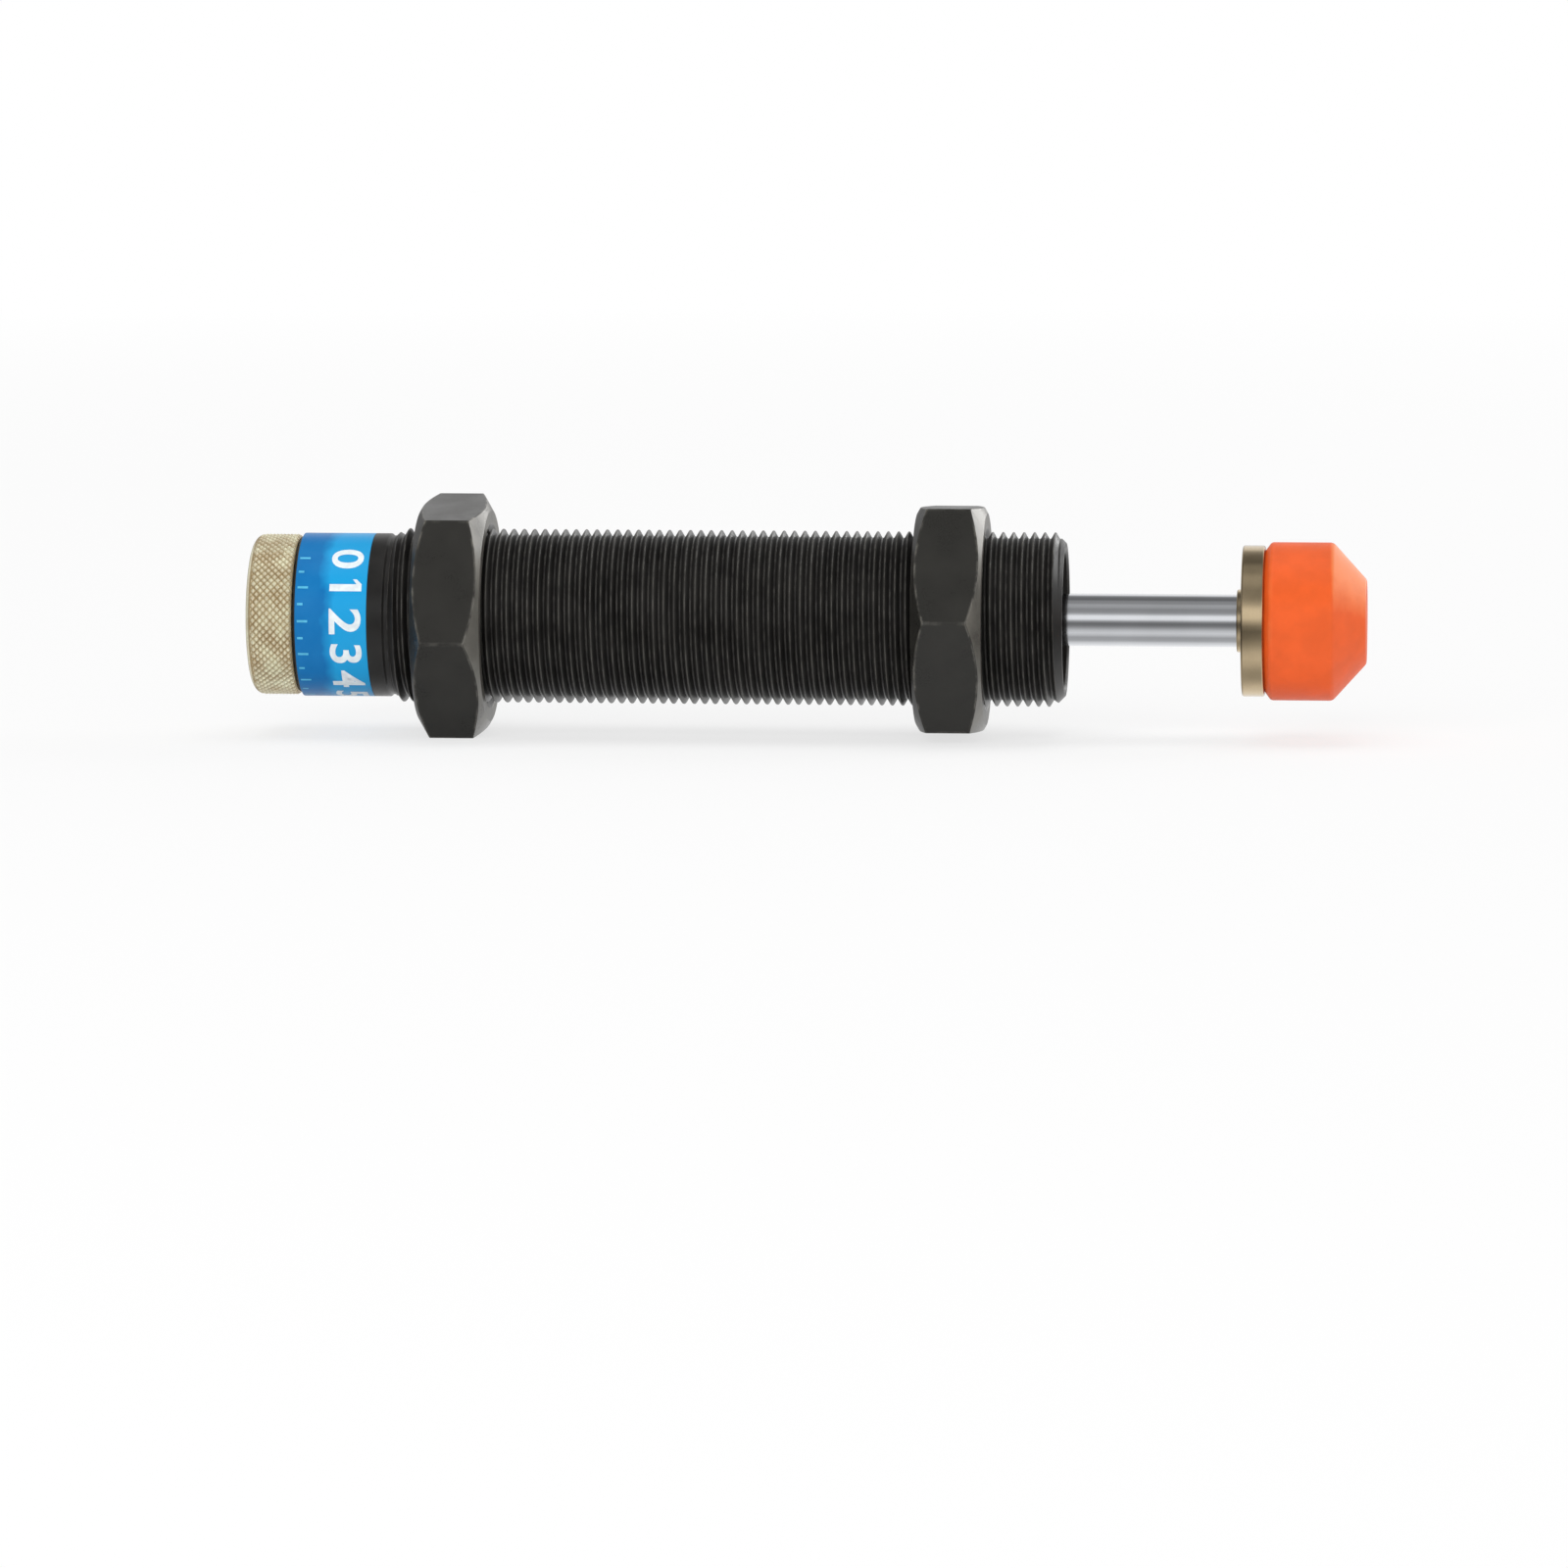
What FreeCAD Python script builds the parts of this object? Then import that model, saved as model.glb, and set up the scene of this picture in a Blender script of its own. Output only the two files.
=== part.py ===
"""Adjustable hydraulic shock absorber with an M25 x 1.5 threaded body and a 25 mm stroke.

The axis of the absorber is X. The origin is on that axis, in the plane of the body's front face.
The rod points towards +X, the adjusting knob is at the -X end, and Z is up.
Every piece is modelled along its own X axis from its rear face, and its placement seats it.
"""
import FreeCAD, Part
import math
import os
import re

import Sketcher

# Driving dimensions in millimetres, and angles in degrees
DIMENSIONS = {
    "overall_len": (160, "knob to the face of the bumper"),
    "body_len": (117, "knob to the front face of the body"),
    "stroke": (25, "travel of the rod"),
    "stop_gap": (0.3, "left between the rod end cap and the body at full stroke"),
    "edge_break": (0.3, "small chamfer on turned edges"),
    "slip": (0.02, "radial gap of pieces that slide together in assembly"),
    "running": (0.03, "radial gap of pieces that move on each other"),
    "thread_dia": (25, "major diameter of the mounting thread"),
    "thread_pitch": (1.5, "pitch of the mounting thread"),
    "thread_depth": (0.92, "crest to root"),
    "thread_flank": (30, "each flank against the radius"),
    "collar_dia": (23.5, "plain collar between scale and thread"),
    "collar_len": (2.2, ""),
    "relief_len": (0.5, "turned groove where the thread runs out, by the collar"),
    "label_len": (10.6, "blue scale band"),
    "label_thick": (0.15, ""),
    "bore_dia": (20, "inside of the outer body"),
    "floor_thick": (12, "closed rear end of the outer body"),
    "rear_pocket_dia": (12, "pocket behind the knob for the circlip"),
    "rear_pocket_deep": (2.5, ""),
    "knob_len": (7, ""),
    "knob_dia": (23.2, ""),
    "knob_gap": (0.25, "between knob and body"),
    "knob_round": (1.8, "rounded rear edge of the knob"),
    "knob_dish_dia": (14, "shallow dish in the rear face"),
    "knob_dish_deep": (0.6, ""),
    "knob_socket_len": (5, "depth of the shaft socket"),
    "grub_dia": (3, "set screws in the knob and in the fill port"),
    "grub_socket_flats": (1.5, "hexagon socket of a set screw"),
    "grub_socket_deep": (1.6, ""),
    "grub_set_back": (0.4, "set screw below the surface of the knob"),
    "nut_flats": (32, "width across flats of a lock nut"),
    "nut_thick": (10, ""),
    "nut_chamfer_angle": (30, "corner chamfer of a lock nut"),
    "nut_face_share": (0.95, "chamfer circle as a share of the flats"),
    "nut_clearance": (0.05, "radial gap between a lock nut and the thread crests"),
    "nut_edge_round": (0.35, "rounding along the six corners"),
    "front_nut_depth": (21.3, "clamping face behind the front face of the body"),
    "rear_nut_depth": (92.8, "rear face behind the front face of the body"),
    "front_nut_turn": (-2.9, "turn of the nut from two corners level, about +X"),
    "rear_nut_turn": (8.2, ""),
    "clip_recess": (1.5, "retaining ring behind the front face"),
    "clip_thick": (1.2, ""),
    "clip_groove_dia": (21, ""),
    "clip_inner_dia": (17.6, ""),
    "clip_lug_dia": (3.2, ""),
    "clip_lug_offset": (2.1, "lug centre from the middle of the gap"),
    "clip_lug_radius": (8.1, "lug centre from the axis"),
    "clip_hole_dia": (1.4, ""),
    "clip_gap": (1.4, ""),
    "rod_dia": (7.5, ""),
    "bearing_len": (9.3, ""),
    "wiper_dia": (12, ""),
    "wiper_len": (3.2, ""),
    "wiper_lip": (0.35, "lip standing out of the bearing"),
    "guide_flange_len": (8, ""),
    "guide_neck_len": (16, ""),
    "guide_neck_dia": (14, ""),
    "guide_spigot_len": (6, ""),
    "guide_port_dia": (1.6, "oil return holes in the neck"),
    "seal_dia": (13, ""),
    "seal_len": (3.6, ""),
    "cord_groove_dia": (17.2, "bottom of the ring groove in the guide"),
    "cord_groove_len": (2.1, ""),
    "foam_gap": (0.15, "around the foam sleeve"),
    "tube_dia": (16, "pressure tube outside"),
    "tube_bore": (12, ""),
    "tube_len": (58, ""),
    "orifice_dia": (1, ""),
    "orifice_first": (50.5, "first metering hole in front of the tube's rear end"),
    "orifice_step": (6, "to the second hole"),
    "orifice_shrink": (0.8, "each later step as a share of the one before"),
    "base_flange_len": (0.8, ""),
    "base_plug_len": (4, ""),
    "spring_pilot_dia": (8.4, ""),
    "spring_pilot_len": (1.4, ""),
    "sleeve_gap": (0.15, "between metering sleeve and pressure tube"),
    "sleeve_wall": (1.3, ""),
    "sleeve_len": (47.5, ""),
    "spiral_len": (24, "spiral throttle recess over the metering holes"),
    "spiral_set_back": (2.5, "plain end in front of the recess"),
    "spiral_shallow": (0.1, "depth where the recess starts"),
    "spiral_deep": (0.9, "depth one turn later"),
    "spiral_turn": (108, "step of the recess from the +Y side, at rest"),
    "disc_len": (2, "drive disc of the adjuster shaft"),
    "disc_gap": (0.1, "between drive disc and floor"),
    "stem_dia": (6, "adjuster shaft"),
    "stem_groove_dia": (4, "bottom of the ring groove in the shaft"),
    "stem_groove_len": (1.5, ""),
    "stem_groove_deep": (5, "groove behind the drive disc"),
    "stem_ring_dia": (0.94, "section of the ring on the shaft"),
    "circlip_thick": (0.8, ""),
    "circlip_groove_dia": (4.8, ""),
    "circlip_dia": (9.4, ""),
    "circlip_mouth": (3.4, "opening of the circlip"),
    "fill_offset": (7.7, "fill port from the axis"),
    "fill_screw_len": (8, ""),
    "piston_dia": (11.9, ""),
    "piston_len": (8, ""),
    "piston_dish_dia": (10.6, "oil dish in the front face"),
    "piston_dish_deep": (1.4, ""),
    "piston_groove_dia": (10.3, ""),
    "piston_groove_len": (2, ""),
    "piston_groove_deep": (2.6, "groove in front of the rear face"),
    "piston_hub_dia": (5.8, "hub through the check disc"),
    "piston_port_dia": (0.9, ""),
    "piston_port_radius": (3.6, ""),
    "piston_port_count": (6, ""),
    "check_recess_dia": (8.6, "recess in the rear face for the check disc"),
    "check_recess_deep": (1.4, ""),
    "check_disc_dia": (8.4, ""),
    "check_disc_len": (0.8, ""),
    "check_gap": (0.05, "left on each side of the check disc"),
    "piston_seat_dia": (6, "rod step in the piston's front dish"),
    "piston_stud_dia": (4, ""),
    "piston_nut_flats": (7, ""),
    "piston_nut_thick": (3.2, ""),
    "stud_end": (0.6, "stud behind the piston nut"),
    "rest_gap": (0.1, "between piston and guide at rest"),
    "ring_gap": (0.5, "split of the piston ring"),
    "spring_wire": (1, ""),
    "spring_mean_dia": (10, ""),
    "spring_turns": (9, ""),
    "spring_seat_gap": (0.05, ""),
    "cap_dia": (21.6, "steel rod end cap"),
    "cap_len": (3.2, ""),
    "cap_boss_dia": (9, ""),
    "cap_boss_len": (0.8, ""),
    "rod_stud_dia": (5, "rod end inside the cap"),
    "rod_stud_len": (7, ""),
    "barb_neck_dia": (8, "stud that holds the bumper"),
    "barb_neck_len": (2.5, ""),
    "barb_head_dia": (10.6, ""),
    "barb_head_len": (3.6, ""),
    "bumper_dia": (22.6, "urethane bumper"),
    "bumper_face_dia": (12, "flat striking face"),
    "bumper_cone_len": (4.8, ""),
    "bumper_lip": (0.9, "chamfer at the rear edge"),
    "bumper_round": (0.7, ""),
}

SHEET = "Sizes"
FUNCTIONS = {"tan", "deg", "floor"}

doc = FreeCAD.newDocument("shock_absorber")
sheet = doc.addObject("Spreadsheet::Sheet", SHEET)
for row, (alias, (number, note)) in enumerate(DIMENSIONS.items(), start=1):
    sheet.set(f"A{row}", note or alias.replace("_", " "))
    sheet.set(f"B{row}", str(number))
    sheet.setAlias(f"B{row}", alias)
doc.recompute()

# Depths of the stacked pieces behind the front face of the body
BEARING_REAR = "(clip_recess + clip_thick + bearing_len)"
GUIDE_LEN = "(guide_flange_len + guide_neck_len + guide_spigot_len)"
TUBE_FRONT = f"({BEARING_REAR} + guide_flange_len + guide_neck_len)"
TUBE_REAR = f"({TUBE_FRONT} + tube_len)"
PISTON_FRONT = f"({BEARING_REAR} + {GUIDE_LEN} + rest_gap)"
SHELL_LEN = "(body_len - knob_len)"
DISC_REAR = f"({SHELL_LEN} - floor_thick - disc_gap)"
STEM_REAR = "(body_len - knob_len + knob_gap + knob_socket_len - slip)"
STEM_LEN = f"({STEM_REAR} - {DISC_REAR})"
CIRCLIP_DEPTH = f"({SHELL_LEN} - rear_pocket_deep + disc_gap + circlip_thick)"
STUD_LEN = "(piston_len - piston_dish_deep + piston_nut_thick + stud_end)"
BUMPER_LEN = "(overall_len - body_len - stroke - stop_gap - cap_len)"


def bound(formula):
    """A formula in the sheet's names, written as an expression of the document."""
    return re.sub(
        "[a-z][a-z_]*",
        lambda word: word[0] if word[0] in FUNCTIONS else f"{SHEET}.{word[0]}",
        formula,
    )


def value(formula):
    """The number that a formula in the sheet's names gives now."""
    return float(sheet.evalExpression(bound(formula)))


def piece(label, depth, turn=None):
    """A new body whose rear face lies that far behind the front face, turned about the axis."""
    body = doc.addObject("PartDesign::Body", label)
    body.Label = label
    if turn:
        body.Placement.Rotation = FreeCAD.Rotation(FreeCAD.Vector(1, 0, 0), value(turn))
        body.setExpression("Placement.Rotation.Angle", f"{bound(turn)} * 1 deg")
    body.setExpression("Placement.Base.x", f"-({bound(depth)})")
    return body


def new_sketch(body, name, plane, offset=None):
    """An empty sketch on one of the body's own planes, moved along its normal by a formula."""
    sketch = body.newObject("Sketcher::SketchObject", name)
    origin_plane = next(f for f in body.Origin.OriginFeatures if f.Role == plane)
    sketch.AttachmentSupport = (origin_plane, [""])
    sketch.MapMode = "FlatFace"
    if offset:
        sketch.setExpression("AttachmentOffset.Base.z", bound(offset))
    return sketch


def pin_point(sketch, geometry, corner, along, across):
    """Holds one point of a sketch at two formulas, or on an axis where a formula is 0."""
    for kind, axis, formula in (("DistanceX", -2, along), ("DistanceY", -1, across)):
        if formula == "0":
            sketch.addConstraint(Sketcher.Constraint("PointOnObject", geometry, corner, axis))
            continue
        rule = Sketcher.Constraint(kind, -1, 1, geometry, corner, value(formula))
        name = f"{kind}_{geometry}"
        sketch.renameConstraint(sketch.addConstraint(rule), name)
        sketch.setExpression(f"Constraints.{name}", bound(formula))


def outline(body, name, plane, points, offset=None):
    """A closed outline of straight edges through points given as pairs of formulas."""
    sketch = new_sketch(body, name, plane, offset)
    corners = [FreeCAD.Vector(value(along), value(across), 0) for along, across in points]
    count = len(points)
    for i in range(count):
        sketch.addGeometry(Part.LineSegment(corners[i], corners[(i + 1) % count]), False)
    for i in range(count):
        sketch.addConstraint(Sketcher.Constraint("Coincident", i, 2, (i + 1) % count, 1))
    for i, (along, across) in enumerate(points):
        pin_point(sketch, i, 1, along, across)
    return sketch


def circles(body, name, plane, rounds, offset=None):
    """A sketch of circles, each given as formulas for its centre and its diameter."""
    sketch = new_sketch(body, name, plane, offset)
    for i, (along, across, diameter) in enumerate(rounds):
        centre = FreeCAD.Vector(value(along), value(across), 0)
        radius = value(diameter) / 2
        sketch.addGeometry(Part.Circle(centre, FreeCAD.Vector(0, 0, 1), radius), False)
        pin_point(sketch, i, 3, along, across)
        rule = sketch.addConstraint(Sketcher.Constraint("Diameter", i, 2 * radius))
        sketch.renameConstraint(rule, f"Diameter_{i}")
        sketch.setExpression(f"Constraints.Diameter_{i}", bound(diameter))
    return sketch


def hexagon(body, name, flats, offset=None):
    """A hexagonal outline across the axis, with two corners on the sketch's first axis."""
    corner = f"({flats}) / 2 / tan(60 deg) * 2"
    half = f"({flats}) / 2 / tan(60 deg)"
    flat = f"({flats}) / 2"
    points = [(corner, "0"), (half, flat), (f"-{half}", flat)]
    points += [(f"-{corner}", "0"), (f"-{half}", f"-{flat}"), (half, f"-{flat}")]
    return outline(body, name, "YZ_Plane", points, offset)


def added(body, kind, name, sketch):
    """A feature of the body made from a sketch, with its reference axis where it turns."""
    feature = body.newObject(f"PartDesign::{kind}", name)
    feature.Profile = sketch
    if kind in ("Revolution", "Groove"):
        feature.ReferenceAxis = (sketch, ["H_Axis"])
        feature.Angle = 360
    body.Tip = feature
    return feature


def turned(body, name, points):
    """Adds material turned about the axis; each point is a formula along and one for the radius."""
    return added(body, "Revolution", name, outline(body, f"{name}_section", "XY_Plane", points))


def check_cut(feature, before):
    """Stops the build if a cut has taken nothing away."""
    doc.recompute()
    if feature.Shape.Volume >= before - 1e-6:
        raise RuntimeError(f"{feature.Label} cuts nothing")


def grooved(body, name, points):
    """Cuts a groove turned about the axis."""
    doc.recompute()
    before = body.Shape.Volume
    groove = added(body, "Groove", name, outline(body, f"{name}_section", "XY_Plane", points))
    check_cut(groove, before)
    return groove


def padded(body, name, sketch, length):
    """Adds a sketch's outline, raised by a length."""
    pad = added(body, "Pad", name, sketch)
    pad.setExpression("Length", bound(length))
    return pad


def pocketed(body, name, sketch, length, reverse=False):
    """Cuts a sketch's outline to a depth, against its normal or, reversed, along it."""
    doc.recompute()
    before = body.Shape.Volume
    pocket = added(body, "Pocket", name, sketch)
    pocket.Reversed = reverse
    pocket.setExpression("Length", bound(length))
    check_cut(pocket, before)
    return pocket


def patterned(body, kind, name, feature, count):
    """Repeats a cut of the body a number of times, given as a formula."""
    pattern = body.newObject(f"PartDesign::{kind}", name)
    pattern.Originals = [feature]
    pattern.setExpression("Occurrences", bound(count))
    body.Tip = pattern
    return pattern


def rounded(body, name, radius, wanted):
    """Rounds the edges of the body that the test picks out."""
    doc.recompute()
    base = body.Tip
    found = [f"Edge{i}" for i, edge in enumerate(base.Shape.Edges, start=1) if wanted(edge)]
    fillet = body.newObject("PartDesign::Fillet", name)
    fillet.Base = (base, found)
    fillet.setExpression("Radius", bound(radius))
    body.Tip = fillet
    return fillet


def ring_edge(along, diameter):
    """A test for a circular edge about the axis, at one place along it."""
    x, radius = value(along), value(diameter) / 2

    def test(edge):
        curve = edge.Curve
        return (
            isinstance(curve, Part.Circle)
            and abs(curve.Radius - radius) < 1e-4
            and abs(edge.CenterOfMass.x - x) < 1e-4
        )

    return test


def turned_tube(body, name, length, outer, inner, start="0"):
    """A plain tube with square ends."""
    rear, front = start, f"{start} + {length}"
    inside, outside = f"({inner}) / 2", f"({outer}) / 2"
    turned(body, name, [(rear, inside), (rear, outside), (front, outside), (front, inside)])


def hex_nut(label, depth, flats, thick, bore, turn=None):
    """A hexagon nut with both faces chamfered and a countersunk bore."""
    body = piece(label, depth, turn)
    padded(body, "hexagon", hexagon(body, "hexagon_section", flats), thick)
    if turn:
        along_axis = (
            lambda edge: isinstance(edge.Curve, Part.Line)
            and abs(edge.tangentAt(edge.FirstParameter).x) > 0.99
        )
        rounded(body, "soft_corners", "nut_edge_round", along_axis)
    face = f"({flats}) / 2 * nut_face_share"
    beyond = f"({flats}) * 0.75"
    drop = f"(({beyond}) - ({face})) * tan(nut_chamfer_angle * 1 deg)"
    grooved(body, "rear_chamfer", [("0", face), ("0", beyond), (drop, beyond)])
    front = [(thick, face), (thick, beyond), (f"{thick} - ({drop})", beyond)]
    grooved(body, "front_chamfer", front)
    pocketed(body, "bore", circles(body, "bore_section", "YZ_Plane", [("0", "0", bore)]), thick, True)
    wall, sink = f"({bore}) / 2", f"({bore}) / 2 + thread_pitch / 2"
    if turn:
        rear_sink = [("0", wall), ("0", sink), ("thread_pitch / 2", wall)]
        front_sink = [(thick, wall), (thick, sink), (f"{thick} - thread_pitch / 2", wall)]
        grooved(body, "rear_countersink", rear_sink)
        grooved(body, "front_countersink", front_sink)
    return body


def grub_screw(label, depth, length):
    """A headless set screw with a hexagon socket in its outer end and a chamfered tip."""
    body = piece(label, depth)
    radius = "(grub_dia / 2 - slip)"
    tip = [("0", "0"), ("0", f"{radius} - edge_break"), ("edge_break", radius)]
    tip += [(f"{length} - edge_break", radius), (length, f"{radius} - edge_break"), (length, "0")]
    turned(body, "shank", tip)
    socket = hexagon(body, "socket_section", "grub_socket_flats")
    pocketed(body, "socket", socket, "grub_socket_deep", True)
    return body


def cut_thread(body, start):
    """Cuts the thread's form as rings one pitch apart, from the front chamfer back to the start."""
    spread, above = "tan(thread_flank * 1 deg)", "thread_pitch / 16"
    narrow = f"(thread_pitch * 7 / 16 - thread_depth * {spread})"
    wide = f"(thread_pitch * 7 / 16 + {above} * {spread})"
    middle = f"{SHELL_LEN} - thread_pitch * 25 / 16"
    root, over = "thread_dia / 2 - thread_depth", f"thread_dia / 2 + {above}"
    points = [(f"{middle} - {wide}", over), (f"{middle} - {narrow}", root)]
    points += [(f"{middle} + {narrow}", root), (f"{middle} + {wide}", over)]
    first = grooved(body, "thread_ring", points)
    length = f"{SHELL_LEN} - thread_pitch - ({start})"
    count = f"floor(({length}) / thread_pitch)"
    rings = patterned(body, "LinearPattern", "thread_rings", first, count)
    rings.Direction = (first.Profile[0], ["H_Axis"])
    rings.Reversed = True
    rings.Mode = "Spacing"
    rings.setExpression("Offset", bound("thread_pitch"))
    check_cut(rings, first.Shape.Volume)


def make_outer_body():
    """The threaded steel body, closed at the rear, with its bore, ring groove and fill port."""
    body = piece("outer_body", SHELL_LEN)
    seat, collar, thread = "(collar_dia / 2 - label_thick)", "collar_dia / 2", "thread_dia / 2"
    bore, stem = "bore_dia / 2", "(stem_dia / 2 + running)"
    relief = "(collar_dia / 2 - edge_break)"
    collar_end = "label_len + collar_len"
    thread_start = f"{collar_end} + edge_break + relief_len"
    clip_front = f"{SHELL_LEN} - clip_recess + slip"
    clip_rear = f"{SHELL_LEN} - clip_recess - clip_thick - slip"
    points = [
        ("0", "rear_pocket_dia / 2"),
        ("0", f"{seat} - edge_break"),
        ("edge_break", seat),
        ("label_len", seat),
        ("label_len", collar),
        (collar_end, collar),
        (f"{collar_end} + edge_break", relief),
        (thread_start, relief),
        (f"{thread_start} + thread_dia / 2 - {relief}", thread),
        (f"{SHELL_LEN} - thread_pitch", thread),
        (SHELL_LEN, f"{thread} - thread_pitch"),
        (SHELL_LEN, f"{bore} + edge_break"),
        (f"{SHELL_LEN} - edge_break", bore),
        (clip_front, bore),
        (clip_front, "clip_groove_dia / 2"),
        (clip_rear, "clip_groove_dia / 2"),
        (clip_rear, bore),
        ("floor_thick", bore),
        ("floor_thick", stem),
        ("rear_pocket_deep", stem),
        ("rear_pocket_deep", "rear_pocket_dia / 2"),
    ]
    turned(body, "shell", points)
    cut_thread(body, thread_start)
    port = circles(body, "fill_port_section", "YZ_Plane", [("0", "-fill_offset", "grub_dia")])
    pocketed(body, "fill_port", port, "floor_thick", True)


def make_scale_label():
    """The thin scale band wrapped round the rear of the body."""
    body = piece("scale_label", f"{SHELL_LEN} - edge_break")
    turned_tube(body, "band", "label_len - edge_break", "collar_dia", "collar_dia - 2 * label_thick")


def make_retaining_ring():
    """The inside snap ring that holds the front bearing, with two plier holes beside its gap."""
    body = piece("retaining_ring", "clip_recess + clip_thick")
    hoop = circles(
        body,
        "hoop_section",
        "YZ_Plane",
        [("0", "0", "clip_groove_dia - 0.1"), ("0", "0", "clip_inner_dia")],
    )
    padded(body, "hoop", hoop, "clip_thick")
    sides = ("clip_lug_offset", "-clip_lug_offset")
    lug_rounds = [(side, "clip_lug_radius", "clip_lug_dia") for side in sides]
    padded(body, "lugs", circles(body, "lug_section", "YZ_Plane", lug_rounds), "clip_thick")
    hole_rounds = [(side, "clip_lug_radius", "clip_hole_dia") for side in sides]
    holes = circles(body, "plier_hole_section", "YZ_Plane", hole_rounds)
    pocketed(body, "plier_holes", holes, "clip_thick", True)
    low, high = "clip_lug_radius - clip_lug_dia", "clip_groove_dia"
    corners = [("clip_gap / 2", low), ("clip_gap / 2", high)]
    corners += [("-clip_gap / 2", high), ("-clip_gap / 2", low)]
    gap = outline(body, "gap_section", "YZ_Plane", corners)
    pocketed(body, "gap", gap, "clip_thick", True)


def make_front_bearing():
    """The bearing bush of the rod, with a pocket for the wiper in its front face."""
    body = piece("front_bearing", BEARING_REAR)
    rod, outside = "(rod_dia / 2 + running)", "(bore_dia / 2 - slip)"
    points = [
        ("0", rod),
        ("0", f"{outside} - edge_break"),
        ("edge_break", outside),
        ("bearing_len - edge_break", outside),
        ("bearing_len", f"{outside} - edge_break"),
        ("bearing_len", "wiper_dia / 2"),
        ("bearing_len - wiper_len", "wiper_dia / 2"),
        ("bearing_len - wiper_len", rod),
    ]
    turned(body, "bush", points)


def make_wiper_seal():
    """The wiper, whose lip leans forward on the rod."""
    body = piece("wiper_seal", "clip_recess + clip_thick + wiper_len")
    rod, outside = "(rod_dia / 2 + running)", "(wiper_dia / 2 - slip)"
    points = [
        ("0", f"{rod} + 0.3"),
        ("0", outside),
        ("wiper_len - edge_break", outside),
        ("wiper_len - edge_break", f"{rod} + 1.1"),
        ("wiper_len + wiper_lip", f"{rod} + 0.25"),
        ("wiper_len + wiper_lip", rod),
        ("wiper_len / 2", f"{rod} + 0.45"),
    ]
    turned(body, "wiper", points)


def make_rod_seal():
    """The U-shaped pressure seal in the guide, open towards the oil."""
    body = piece("rod_seal", f"{BEARING_REAR} + seal_len")
    rod, outside = "(rod_dia / 2 + running)", "(seal_dia / 2 - slip)"
    points = [
        ("0", rod),
        ("0", f"{rod} + 0.6"),
        ("seal_len / 2", f"({rod} + {outside}) / 2"),
        ("0", f"{outside} - 0.6"),
        ("0", outside),
        ("seal_len - edge_break", outside),
        ("seal_len - edge_break", rod),
    ]
    turned(body, "u_cup", points)


def make_rod_guide():
    """The guide behind the bearing: flange with seal and ring groove, ported neck and spigot."""
    body = piece("rod_guide", f"{BEARING_REAR} + {GUIDE_LEN}")
    rod, outside = "(rod_dia / 2 + running)", "(bore_dia / 2 - slip)"
    spigot, neck = "(tube_bore / 2 - slip)", "guide_neck_dia / 2"
    flange = "(guide_spigot_len + guide_neck_len)"
    groove = f"{flange} + cord_groove_len / 2"
    points = [
        ("0", rod),
        ("0", f"{spigot} - edge_break"),
        ("edge_break", spigot),
        ("guide_spigot_len", spigot),
        ("guide_spigot_len", neck),
        (flange, neck),
        (flange, outside),
        (groove, outside),
        (groove, "cord_groove_dia / 2"),
        (f"{groove} + cord_groove_len", "cord_groove_dia / 2"),
        (f"{groove} + cord_groove_len", outside),
        (GUIDE_LEN, outside),
        (GUIDE_LEN, "seal_dia / 2"),
        (f"{GUIDE_LEN} - seal_len", "seal_dia / 2"),
        (f"{GUIDE_LEN} - seal_len", rod),
    ]
    turned(body, "guide", points)
    place = ("guide_spigot_len + guide_neck_len / 2", "0", "guide_port_dia")
    ports = circles(body, "port_section", "XZ_Plane", [place], offset="guide_neck_dia")
    pocketed(body, "ports", ports, "2 * guide_neck_dia")


def make_ring_seal(label, depth, mean, section):
    """A rubber ring of round section, lying in its groove."""
    body = piece(label, depth)
    rubber = circles(body, "rubber_section", "XY_Plane", [("0", f"({mean}) / 2", section)])
    added(body, "Revolution", "rubber", rubber)


def make_accumulator_foam():
    """The closed-cell foam sleeve that takes up the oil displaced by the rod."""
    body = piece("accumulator_foam", f"{TUBE_FRONT} - foam_gap")
    outer, inner = "bore_dia - 2 * foam_gap", "guide_neck_dia + 2 * foam_gap"
    turned_tube(body, "foam", "guide_neck_len - 2 * foam_gap", outer, inner)


def make_pressure_tube():
    """The pressure tube with its row of metering holes, closer together towards the rear."""
    body = piece("pressure_tube", TUBE_REAR)
    inside, outside = "tube_bore / 2", "tube_dia / 2"
    points = [
        ("0", inside),
        ("0", f"{outside} - edge_break"),
        ("edge_break", outside),
        ("tube_len - edge_break", outside),
        ("tube_len", f"{outside} - edge_break"),
        ("tube_len", inside),
    ]
    turned(body, "tube", points)
    place, step, rounds = "orifice_first", "orifice_step", []
    for _ in range(5):
        rounds.append((f"{place} - guide_spigot_len", "0", "orifice_dia"))
        place, step = f"{place} - {step}", f"{step} * orifice_shrink"
    pocketed(body, "orifices", circles(body, "orifice_row", "XY_Plane", rounds), "tube_dia", True)


def make_tube_base():
    """The plug that closes the rear of the pressure tube and centres the spring."""
    body = piece("tube_base", f"{TUBE_REAR} + base_flange_len")
    plug, top = "(tube_bore / 2 - slip)", "(base_flange_len + base_plug_len)"
    points = [
        ("0", "0"),
        ("0", "tube_dia / 2"),
        ("base_flange_len", "tube_dia / 2"),
        ("base_flange_len", plug),
        (top, plug),
        (top, "spring_pilot_dia / 2"),
        (f"{top} + spring_pilot_len", "spring_pilot_dia / 2 - edge_break"),
        (f"{top} + spring_pilot_len", "0"),
    ]
    turned(body, "plug", points)


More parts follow.
